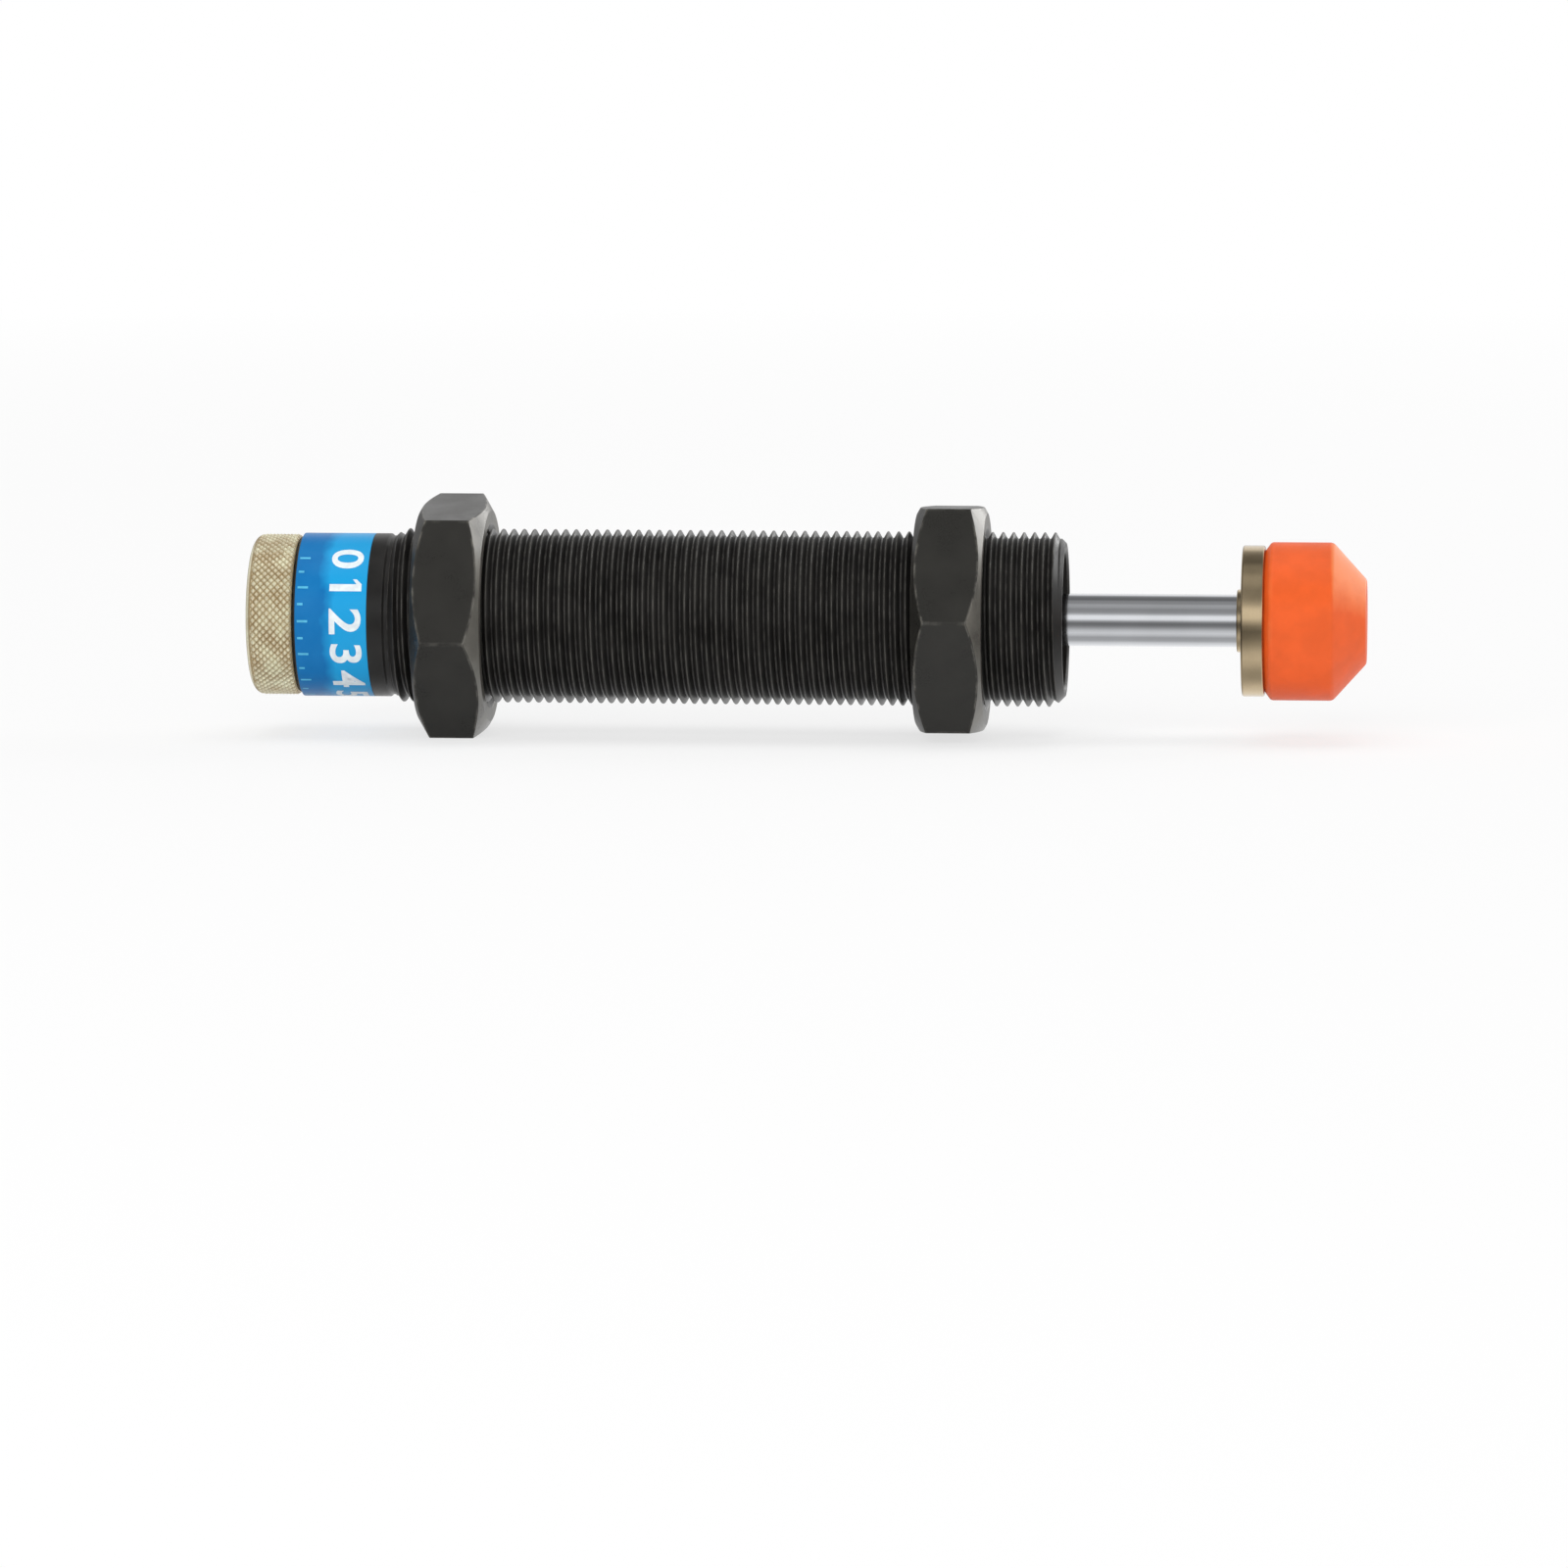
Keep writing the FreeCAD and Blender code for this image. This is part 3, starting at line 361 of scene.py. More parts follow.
class Canvas:
    """Short calls that add nodes to one tree and join them."""

    def __init__(self, tree: bpy.types.NodeTree) -> None:
        """Works on the given tree."""
        self.tree = tree

    def join(self, socket: bpy.types.NodeSocket, given: Value) -> None:
        """Joins an input to another socket, or gives it a plain value.

        Args:
            socket: The input.
            given: The socket or the value for it.
        """
        if isinstance(given, bpy.types.NodeSocket):
            self.tree.links.new(given, socket)
        else:
            socket.default_value = given

    def add(
        self, kind: str, inputs: dict[int | str, Value] | None = None, **settings: object
    ) -> bpy.types.Node:
        """Adds a node.

        Args:
            kind: The node's type, without its common beginning.
            inputs: A socket to join, or a value to set, for each input.
            **settings: The node's own properties.

        Returns:
            The node.
        """
        node = self.tree.nodes.new(f"ShaderNode{kind}")
        for name, setting in settings.items():
            setattr(node, name, setting)
        for key, given in (inputs or {}).items():
            self.join(node.inputs[key], given)
        return node

    def math(self, operation: str, *values: Value) -> bpy.types.NodeSocket:
        """The result of a Math node."""
        return self.add("Math", dict(enumerate(values)), operation=operation).outputs[0]

    def measure(self, operation: str, *vectors: Value) -> bpy.types.NodeSocket:
        """The number that a Vector Math node makes of its vectors."""
        return self.add("VectorMath", dict(enumerate(vectors)), operation=operation).outputs["Value"]

    def spread(
        self, value: Value, low: float, high: float, new_low: float = 0.0, new_high: float = 1.0
    ) -> bpy.types.NodeSocket:
        """A value moved from one range to another, and held inside it."""
        ends = {"From Min": low, "From Max": high, "To Min": new_low, "To Max": new_high}
        return self.add("MapRange", {"Value": value, **ends}, clamp=True).outputs[0]

    def between(self, share: Value, low: float, high: float) -> bpy.types.NodeSocket:
        """A value that goes from low to high as the share goes from 0 to 1."""
        return self.spread(share, 0.0, 1.0, low, high)

    def blend(self, share: Value, first: Value, second: Value) -> bpy.types.NodeSocket:
        """Goes from one colour to another.

        Args:
            share: How far it goes, from 0 to 1.
            first: The colour where the share is 0.
            second: The colour where the share is 1.

        Returns:
            The colour.
        """
        one, two = ((*c, 1.0) if isinstance(c, tuple) else c for c in (first, second))
        inputs = {MIX_SHARE: share, MIX_FIRST: one, MIX_SECOND: two}
        return self.add("Mix", inputs, data_type="RGBA").outputs[MIX_RESULT]

    def place(self) -> bpy.types.NodeSocket:
        """The point on the piece, in millimetres."""
        where = self.add("TexCoord").outputs["Object"]
        return self.add("VectorMath", {0: where, "Scale": 1 / MM}, operation="SCALE").outputs[0]

    def along_and_radius(self) -> tuple[bpy.types.NodeSocket, bpy.types.NodeSocket]:
        """Where the point lies, in millimetres.

        Returns:
            Its place along the axis and its distance from the axis.
        """
        parts = self.add("SeparateXYZ", {0: self.place()}).outputs
        across = self.add("CombineXYZ", {1: parts[1], 2: parts[2]}).outputs[0]
        return parts[0], self.measure("LENGTH", across)

    def facing(self, way: Triple) -> bpy.types.NodeSocket:
        """How far the piece's surface faces a way, as a cosine."""
        normal = self.add("TexCoord").outputs["Normal"]
        return self.measure("DOT_PRODUCT", normal, way)

    def noise(self, size: Value, detail: float) -> bpy.types.NodeSocket:
        """Noise all over the piece.

        Args:
            size: The size of its patches, in millimetres.
            detail: How many finer layers it has.

        Returns:
            Its value.
        """
        scale = self.math("DIVIDE", 1.0, size)
        inputs = {"Vector": self.place(), "Scale": scale, "Detail": detail}
        return self.add("TexNoise", inputs).outputs[0]

    def group(self, tree: bpy.types.NodeTree, **inputs: float) -> bpy.types.bpy_prop_collection:
        """The outputs of a group's node, whose inputs are given in small letters."""
        named = {name.capitalize(): given for name, given in inputs.items()}
        return self.add("Group", named, node_tree=tree).outputs


class GroupCanvas(Canvas):
    """A shader node group of number sockets in the making."""

    def __init__(self, name: str, inputs: dict[str, float], *outputs: str) -> None:
        """Starts the group.

        Args:
            name: The group's name.
            inputs: Each input's name and usual value.
            *outputs: The names of the outputs.
        """
        super().__init__(bpy.data.node_groups.new(name, "ShaderNodeTree"))
        for label, usual in inputs.items():
            self.socket(label, "INPUT").default_value = usual
        for label in outputs:
            self.socket(label, "OUTPUT")
        self.entry = self.tree.nodes.new("NodeGroupInput")
        self.leave = self.tree.nodes.new("NodeGroupOutput")

    def socket(self, label: str, way: str) -> bpy.types.NodeTreeInterfaceSocket:
        """Adds a number socket to the group's outside."""
        return self.tree.interface.new_socket(name=label, in_out=way, socket_type="NodeSocketFloat")

    def given(self, label: str) -> bpy.types.NodeSocket:
        """What comes in through an input."""
        return self.entry.outputs[label]

    def put_out(self, label: str, value: bpy.types.NodeSocket) -> None:
        """Sends a value out through an output."""
        self.join(self.leave.inputs[label], value)


class Surface(Canvas):
    """A material in the making, with the shader that its look goes to."""

    def __init__(self, name: str) -> None:
        """Starts the material.

        Args:
            name: The material's name.
        """
        self.material = bpy.data.materials.new(name)
        self.material.use_nodes = True
        self.material.node_tree.nodes.clear()
        super().__init__(self.material.node_tree)
        self.shader = self.add("BsdfPrincipled")

    def feed(self, name: str, given: Value) -> None:
        """Gives an input of the shader a socket or a plain value."""
        self.join(self.shader.inputs[name], given)

    def show(self, shader: bpy.types.Node) -> None:
        """Makes a shader what is seen of the material."""
        self.add("OutputMaterial", {"Surface": shader.outputs[0]})


# Effects


@dataclass(frozen=True)
class EdgeWear:
    """Rubbed edges: where the surface turns within a width, broken up by patches.

    Turn has the cosines at which an edge begins to be rubbed and is rubbed fully. Patch has the
    levels of noise between which the rub goes from its least to full.
    """

    turn: Span = (0.995, 0.9)
    patch: Span = (0.41, 0.6)
    patch_least: float = 0.08
    detail: float = 4.0
    samples: int = 4

    def build(self) -> bpy.types.NodeTree:
        """Makes the group, with widths and patches in millimetres.

        Returns:
            The group, which puts out a mask from 0 to 1.
        """
        group = GroupCanvas("edge_wear", {"Width": 0.3, "Patch": 1.5, "Amount": 1.0}, "Mask")
        width = group.math("MULTIPLY", group.given("Width"), MM)
        bevel = group.add("Bevel", {"Radius": width}, samples=self.samples).outputs[0]
        normal = group.add("NewGeometry").outputs["Normal"]
        edge = group.spread(group.measure("DOT_PRODUCT", bevel, normal), *self.turn)
        noise = group.noise(group.given("Patch"), self.detail)
        patch = group.spread(noise, *self.patch, self.patch_least, 1.0)
        rubbed = group.math("MULTIPLY", edge, patch)
        group.put_out("Mask", group.math("MULTIPLY", rubbed, group.given("Amount")))
        return group.tree


@dataclass(frozen=True)
class SurfaceGrain:
    """Cloudy tone, fine grain and sparse specks of a worked surface, each from 0 to 1.

    Cloud and grain have the levels of noise that become 0 and 1. Specks are parted by a grain's
    size over their share, and speck has the distances from a middle that become 0 and 1.
    """

    cloud: Span = (0.35, 0.65)
    cloud_detail: float = 3.0
    grain: Span = (0.25, 0.75)
    grain_detail: float = 2.0
    speck_share: float = 0.35
    speck: Span = (0.12, 0.05)

    def build(self) -> bpy.types.NodeTree:
        """Makes the group, with the sizes of clouds and grains in millimetres.

        Returns:
            The group.
        """
        group = GroupCanvas("surface_grain", {"Cloud": 8.0, "Grain": 0.15}, "Cloud", "Grain", "Speck")
        patterns = (("Cloud", self.cloud, self.cloud_detail), ("Grain", self.grain, self.grain_detail))
        for label, levels, detail in patterns:
            group.put_out(label, group.spread(group.noise(group.given(label), detail), *levels))
        scale = group.math("DIVIDE", self.speck_share, group.given("Grain"))
        cells = group.add("TexVoronoi", {"Vector": group.place(), "Scale": scale})
        group.put_out("Speck", group.spread(cells.outputs["Distance"], *self.speck))
        return group.tree


@dataclass(frozen=True)
class TurningMarks:
    """Fine rings round the axis, on flanks and faces alike, from 0 to 1.

    Levels has the levels of noise that become 0 and 1.
    """

    levels: Span = (0.3, 0.7)
    detail: float = 3.0

    def build(self) -> bpy.types.NodeTree:
        """Makes the group, with the pitch of the rings in millimetres.

        Returns:
            The group.
        """
        group = GroupCanvas("turning_marks", {"Pitch": 0.1}, "Marks")
        path = group.math("ADD", *group.along_and_radius())
        steps = group.math("DIVIDE", path, group.given("Pitch"))
        inputs = {"W": steps, "Scale": 1.0, "Detail": self.detail}
        noise = group.add("TexNoise", inputs, noise_dimensions="1D")
        group.put_out("Marks", group.spread(noise.outputs[0], *self.levels))
        return group.tree


class Effects:
    """The effects that several finishes share, each a node group built once."""

    def __init__(self) -> None:
        """Builds the three groups."""
        self.wear = EdgeWear().build()
        self.grain = SurfaceGrain().build()
        self.rings = TurningMarks().build()


# Finishes


@dataclass(frozen=True)
class Finish:
    """What every finish has: a colour, a roughness, and how both vary over the surface.

    Sizes and depths are in millimetres. The colour drifts darker and lighter by a share of
    itself. As the pattern behind the roughness rises through its levels, the roughness goes
    from its first step to its second, both counted from its usual value. Depth is how high
    the relief's pattern would stand at 1, and relief is how far of it is felt.
    """

    colour: Colour
    roughness: float
    metallic: float = 0.0
    gloss: float = 0.5
    cloud_size: float = 4.0
    grain_size: float = 0.1
    drift: float = 0.08
    wander: float = 0.0
    levels: Span = (0.0, 1.0)
    rough_steps: Span = (0.0, 0.1)
    depth: float = 0.01
    relief: float = 0.3

    def build(self, name: str, effects: Effects) -> bpy.types.Material:
        """Makes the material and dresses its shader.

        Args:
            name: The material's name.
            effects: The shared effects.

        Returns:
            The material.
        """
        surface = Surface(name)
        surface.material.diffuse_color = (*self.colour, 1.0)
        surface.feed("Base Color", (*self.colour, 1.0))
        surface.feed("Roughness", self.roughness)
        surface.feed("Metallic", self.metallic)
        surface.feed("Specular IOR Level", self.gloss)
        surface.show(surface.shader)
        self.dress(surface, effects)
        return surface.material

    def dress(self, surface: Surface, effects: Effects) -> None:
        """Adds the finish's own detail to its shader."""
        raise NotImplementedError

    def texture(self, surface: Surface, effects: Effects) -> bpy.types.bpy_prop_collection:
        """The clouds, grain and specks of the surface, in the finish's own sizes."""
        return surface.group(effects.grain, cloud=self.cloud_size, grain=self.grain_size)

    def tone(self, surface: Surface, share: Value) -> bpy.types.NodeSocket:
        """Drifts the colour.

        Args:
            surface: The material in the making.
            share: 0 where the colour is darkest, and 1 where it is lightest.

        Returns:
            The colour over the surface.
        """
        dark = tuple(c * (1 - self.drift) for c in self.colour)
        light = tuple(min(1.0, c * (1 + self.drift)) for c in self.colour)
        return surface.blend(share, dark, light)

    def wavering(self, surface: Surface, value: Value, cloud: Value) -> bpy.types.NodeSocket:
        """A value that wanders a little with the clouds."""
        return surface.math("ADD", value, surface.between(cloud, -self.wander, self.wander))

    def dull(self, surface: Surface, pattern: Value) -> None:
        """Varies the roughness with a pattern."""
        steps = (self.roughness + step for step in self.rough_steps)
        surface.feed("Roughness", surface.spread(pattern, *self.levels, *steps))

    def raised(self, surface: Surface, height: Value) -> None:
        """Raises a height from 0 to 1 as a bump."""
        inputs = {"Height": height, "Distance": self.depth * MM, "Strength": self.relief}
        surface.feed("Normal", surface.add("Bump", inputs).outputs[0])


@dataclass(frozen=True)
class BlackOxide(Finish):
    """Steel blackened in an oil bath, rubbed along edges and on thread crests, with a painted highlight
    on front faces.

    Crest has the radii between which the rub on the crests sets in, and the highlight's turn has the
    cosines between which the painted highlight on front faces does; it shows in the colour of rubbed
    metal. Each is least where the clouds are dark.
    """

    gloss: float = 0.3
    cloud_size: float = 6.0
    grain_size: float = 0.12
    drift: float = 0.3
    levels: Span = (0.4, 1.6)
    rough_steps: Span = (-0.05, 0.07)
    relief: float = 0.15
    worn_and_highlight: Colour = linear(192, 188, 178)
    worn_and_highlight_metallic: float = 0.85
    wear: float = 0.5
    wear_width: float = 0.3
    wear_patch: float = 2.0
    crest: Span | None = None
    crest_rub: float = 0.05
    crest_least: float = 0.4
    # painted highlight on the faces towards +X, in the colour of rubbed metal
    front_face_highlight: float = 0.0
    highlight_turn: Span = (0.7, 0.85)
    highlight_least: float = 0.5
    oil: float = 0.12
    oil_roughness: float = 0.12

    def dress(self, surface: Surface, effects: Effects) -> None:
        """Cloudy black with an oily gloss, fine grain, metal showing where it is rubbed, and a painted
        highlight in that metal's colour on front faces.

        Args:
            surface: The material in the making.
            effects: The shared effects.
        """
        grain = self.texture(surface, effects)
        rubs = {"width": self.wear_width, "patch": self.wear_patch, "amount": self.wear}
        mask = surface.group(effects.wear, **rubs)["Mask"]
        if self.crest:
            _, radius = surface.along_and_radius()
            crests = surface.spread(radius, *self.crest, 0.0, self.crest_rub)
            patch = surface.between(grain["Cloud"], self.crest_least, 1.0)
            mask = surface.math("MAXIMUM", mask, surface.math("MULTIPLY", crests, patch))
        # painted highlight: faces towards +X take the colour and metalness of rubbed metal
        if self.front_face_highlight:
            faces = surface.spread(surface.facing(Axis.ALONG.value), *self.highlight_turn, 0.0, self.front_face_highlight)
            patch = surface.between(grain["Cloud"], self.highlight_least, 1.0)
            mask = surface.math("MAXIMUM", mask, surface.math("MULTIPLY", faces, patch))
        surface.feed("Base Color", surface.blend(mask, self.tone(surface, grain["Cloud"]), self.worn_and_highlight))
        surface.feed("Metallic", surface.between(mask, 0.0, self.worn_and_highlight_metallic))
        surface.feed("Coat Weight", self.oil)
        surface.feed("Coat Roughness", self.oil_roughness)
        self.dull(surface, surface.math("ADD", grain["Cloud"], grain["Grain"]))
        self.raised(surface, grain["Grain"])


@dataclass(frozen=True)
class GlossFilm(Finish):
    """Printed film with a clear gloss, deeper in colour towards the knob."""

    gloss: float = 0.2
    cloud_size: float = 5.0
    grain_size: float = 0.3
    wander: float = 0.6
    rough_steps: Span = (0.0, 0.08)
    relief: float = 0.1
    deep: Colour = linear(10, 114, 182)
    deep_from: float = -106.2
    light_from: float = -104.4
    pale: Colour = linear(70, 176, 230)
    pale_most: float = 0.08

    def dress(self, surface: Surface, effects: Effects) -> None:
        """Two blues run into each other, with a little unevenness in the ink and the film.

        Args:
            surface: The material in the making.
            effects: The shared effects.
        """
        grain = self.texture(surface, effects)
        along, _ = surface.along_and_radius()
        bent = self.wavering(surface, along, grain["Cloud"])
        share = surface.spread(bent, self.deep_from, self.light_from)
        ink = surface.blend(share, self.deep, self.colour)
        patch = surface.between(grain["Cloud"], 0.0, self.pale_most)
        surface.feed("Base Color", surface.blend(patch, ink, self.pale))
        self.dull(surface, grain["Grain"])
        self.raised(surface, grain["Cloud"])


@dataclass(frozen=True)
class PrintInk(Finish):
    """Ink printed on the film, a little uneven and thin at places."""

    cloud_size: float = 1.2
    rough_steps: Span = (0.0, 0.15)

    def dress(self, surface: Surface, effects: Effects) -> None:
        """Tone and gloss vary with the ink's cover.

        Args:
            surface: The material in the making.
            effects: The shared effects.
        """
        grain = self.texture(surface, effects)
        surface.feed("Base Color", self.tone(surface, grain["Cloud"]))
        self.dull(surface, grain["Grain"])


@dataclass(frozen=True)
class KnurledNickel(Finish):
    """Warm nickel plating over knurled brass, dull and dark in the cuts.

    Flank has the radii between which the cuts' colour goes over to the plating's, and inside
    the radii between which it does so again on the faces within the knurl.
    """

    metallic: float = 0.45
    cloud_size: float = 2.5
    grain_size: float = 0.08
    drift: float = 0.1
    wander: float = 0.08
    levels: Span = (0.3, 1.7)
    rough_steps: Span = (-0.04, 0.1)
    depth: float = 0.008
    pitch: float = 0.12
    cut: Colour = linear(184, 162, 120)
    flank: Span = (11.2, 11.5)
    inside: Span = (11.15, 11.0)

    def dress(self, surface: Surface, effects: Effects) -> None:
        """Bright crests, darker cuts and turned faces with fine rings.

        Args:
            surface: The material in the making.
            effects: The shared effects.
        """
        grain = self.texture(surface, effects)
        marks = surface.group(effects.rings, pitch=self.pitch)["Marks"]
        _, radius = surface.along_and_radius()
        height = surface.spread(self.wavering(surface, radius, grain["Cloud"]), *self.flank)
        bright = surface.math("MAXIMUM", height, surface.spread(radius, *self.inside))
        plated = self.tone(surface, grain["Cloud"])
        surface.feed("Base Color", surface.blend(bright, self.cut, plated))
        self.dull(surface, surface.math("ADD", marks, grain["Grain"]))
        self.raised(surface, marks)


@dataclass(frozen=True)
class TurnedMetal(Finish):
    """Metal fresh from the lathe: fine rings, faint stains and lighter edges."""

    metallic: float = 1.0
    levels: Span = (0.3, 1.7)
    rough_steps: Span = (-0.04, 0.08)
    depth: float = 0.006
    pitch: float = 0.1
    edge: float = 0.35
    edge_width: float = 0.2
    edge_patch: float = 1.5
    edge_lift: float = 1.3
    stain: Colour = linear(96, 84, 70)
    stain_most: float = 0.35

    def dress(self, surface: Surface, effects: Effects) -> None:
        """Rings in height and gloss, stains in colour.

        Args:
            surface: The material in the making.
            effects: The shared effects.
        """
        grain = self.texture(surface, effects)
        marks = surface.group(effects.rings, pitch=self.pitch)["Marks"]
        rubs = {"width": self.edge_width, "patch": self.edge_patch, "amount": self.edge}
        wear = surface.group(effects.wear, **rubs)["Mask"]
        specks = surface.between(grain["Speck"], 0.0, self.stain_most)
        stained = surface.blend(specks, self.tone(surface, grain["Cloud"]), self.stain)
        light = tuple(min(1.0, c * self.edge_lift) for c in self.colour)
        surface.feed("Base Color", surface.blend(wear, stained, light))
        self.dull(surface, surface.math("ADD", marks, grain["Cloud"]))
        self.raised(surface, marks)


@dataclass(frozen=True)
class HardChrome(Finish):
    """Ground and chromed rod: a near mirror with faint polishing lines."""

    metallic: float = 1.0
    cloud_size: float = 7.0
    drift: float = 0.03
    levels: Span = (0.2, 1.8)
    rough_steps: Span = (0.0, 0.05)
    depth: float = 0.001
    relief: float = 0.1
    pitch: float = 0.05

    def dress(self, surface: Surface, effects: Effects) -> None:
        """Very fine lines round the rod and a trace of oil film.

        Args:
            surface: The material in the making.
            effects: The shared effects.
        """
        grain = self.texture(surface, effects)
        marks = surface.group(effects.rings, pitch=self.pitch)["Marks"]
        surface.feed("Base Color", self.tone(surface, grain["Cloud"]))
        self.dull(surface, surface.math("ADD", marks, grain["Cloud"]))
        self.raised(surface, marks)


@dataclass(frozen=True)
class Urethane(Finish):
    """Cast urethane: a satin skin with soft waves, faint pores, pale rubbed edges and a painted
    highlight.

    The painted highlight pales the side that faces up, forward and towards the load, setting in between
    the cosines of its span, and pores is the share of the fine grain in the skin's height.
    """

    gloss: float = 0.38
    cloud_size: float = 3.5
    grain_size: float = 0.25
    drift: float = 0.05
    wander: float = 0.03
    rough_steps: Span = (0.0, 0.12)
    depth: float = 0.12
    relief: float = 0.25
    pores: float = 0.12
    # pale colour of rubbed edges, and of the painted highlight on the side that faces up, forward and
    # towards the load
    rubbed: Colour = linear(250, 162, 100)
    highlight_side: Triple = (0.7, -0.25, 0.67)
    highlight_from: Span = (0.76, 0.97)
    highlight_share: float = 0.5
    edge: float = 0.4
    edge_width: float = 0.9
    edge_patch: float = 3.0

    def dress(self, surface: Surface, effects: Effects) -> None:
        """Colour drifts a little, pales along rubbed edges and under a painted highlight on the side
        facing up and towards the load, and the skin is slightly uneven.

        Args:
            surface: The material in the making.
            effects: The shared effects.
        """
        grain = self.texture(surface, effects)
        rubs = {"width": self.edge_width, "patch": self.edge_patch, "amount": self.edge}
        edges = surface.group(effects.wear, **rubs)["Mask"]
        # painted highlight: the side that faces up, forward and towards the load is paled, together with
        # the real rub on the edges
        lit_side = self.wavering(surface, surface.facing(self.highlight_side), grain["Cloud"])
        wear = surface.math("MAXIMUM", edges, surface.spread(lit_side, *self.highlight_from, 0.0, self.highlight_share))
        surface.feed("Base Color", surface.blend(wear, self.tone(surface, grain["Cloud"]), self.rubbed))
        self.dull(surface, grain["Grain"])
        pores = surface.math("MULTIPLY", grain["Grain"], self.pores)
        self.raised(surface, surface.math("ADD", grain["Cloud"], pores))


@dataclass(frozen=True)
class SoftPolymer(Finish):
    """Matt rubber, foam or plastic with a grain of its own size."""

    cloud_size: float = 3.0
    grain_size: float = 0.2
    drift: float = 0.15
    rough_steps: Span = (-0.05, 0.08)
    depth: float = 0.02
    relief: float = 0.4

    def dress(self, surface: Surface, effects: Effects) -> None:
        """Grain in tone, gloss and height.

        Args:
            surface: The material in the making.
            effects: The shared effects.
        """
        grain = self.texture(surface, effects)
        surface.feed("Base Color", self.tone(surface, grain["Grain"]))
        self.dull(surface, grain["Cloud"])
        self.raised(surface, grain["Grain"])


class Look(Enum):
    """Every finish of the absorber, on dressed pieces and on the frame's own nodes."""

    BLACK_BODY = BlackOxide(linear(34, 33, 32), 0.36, wear=0.25, wear_width=0.15, crest=(12.1, 12.5))
    # the nut's faces towards +X carry a painted highlight
    BLACK_NUT = BlackOxide(linear(42, 41, 38), 0.32, drift=0.12, wear=0.65, wear_width=0.5, front_face_highlight=0.35)
    BLUE_FILM = GlossFilm(linear(26, 162, 224), 0.3)
    WHITE_INK = PrintInk(linear(236, 244, 250), 0.3)
    PALE_INK = PrintInk(linear(84, 188, 226), 0.3)
    KNURLED_NICKEL = KnurledNickel(linear(255, 241, 210), 0.24)
    CAP_STEEL = TurnedMetal(linear(202, 182, 148), 0.12, pitch=0.14, edge=0.2)
    BEARING_BRONZE = TurnedMetal(linear(196, 150, 84), 0.3)
    INNER_STEEL = TurnedMetal(linear(170, 170, 168), 0.28)
    SPRING_STEEL = TurnedMetal(linear(120, 118, 114), 0.32, pitch=0.3)
    SCREW_STEEL = TurnedMetal(linear(74, 72, 70), 0.34)
    HARD_CHROME = HardChrome(linear(219, 221, 225), 0.06)
    ORANGE_URETHANE = Urethane(linear(239, 96, 34), 0.42)
    SEAL_RUBBER = SoftPolymer(linear(36, 36, 37), 0.55)
    GREY_FOAM = SoftPolymer(linear(78, 78, 80), 0.85, grain_size=0.5, depth=0.2)
    RING_POLYMER = SoftPolymer(linear(196, 184, 150), 0.4)


class Palette:
    """Every look, made into a material once."""

    def __init__(self) -> None:
        """Builds the materials, each with its look's name in small letters."""
        effects = Effects()
        self.made = {look: look.value.build(look.name.lower(), effects) for look in Look}

    def __getitem__(self, look: Look) -> bpy.types.Material:
        """The material of a look."""
        return self.made[look]


# Sub-assemblies


@dataclass
class SubAssembly:
    """What every sub-assembly has: the palette, and the way that its pieces join the model."""

    palette: Palette

    def build(self) -> None:
        """Makes the pieces."""
        raise NotImplementedError

    def coat(self, piece: bpy.types.Object, look: Look) -> None:
        """Gives a piece its finish and no other."""
        piece.data.materials.clear()
        piece.data.materials.append(self.palette[look])

    def settle(self, piece: bpy.types.Object, body: Body, slot: Slot, look: Look, *nodes: str) -> None:
        """Gives a piece its finish and its body.

        Args:
            piece: The piece.
            body: The body that it rides on.
            slot: The slot for its material; not used.
            look: Its finish.
            *nodes: The frame's nodes that it stands for, which are hidden.
        """
        self.coat(piece, look)
        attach(piece, body.value)
        if nodes:
            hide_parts(*nodes)
        log.info("%s: %d faces", piece.name, len(piece.data.polygons))


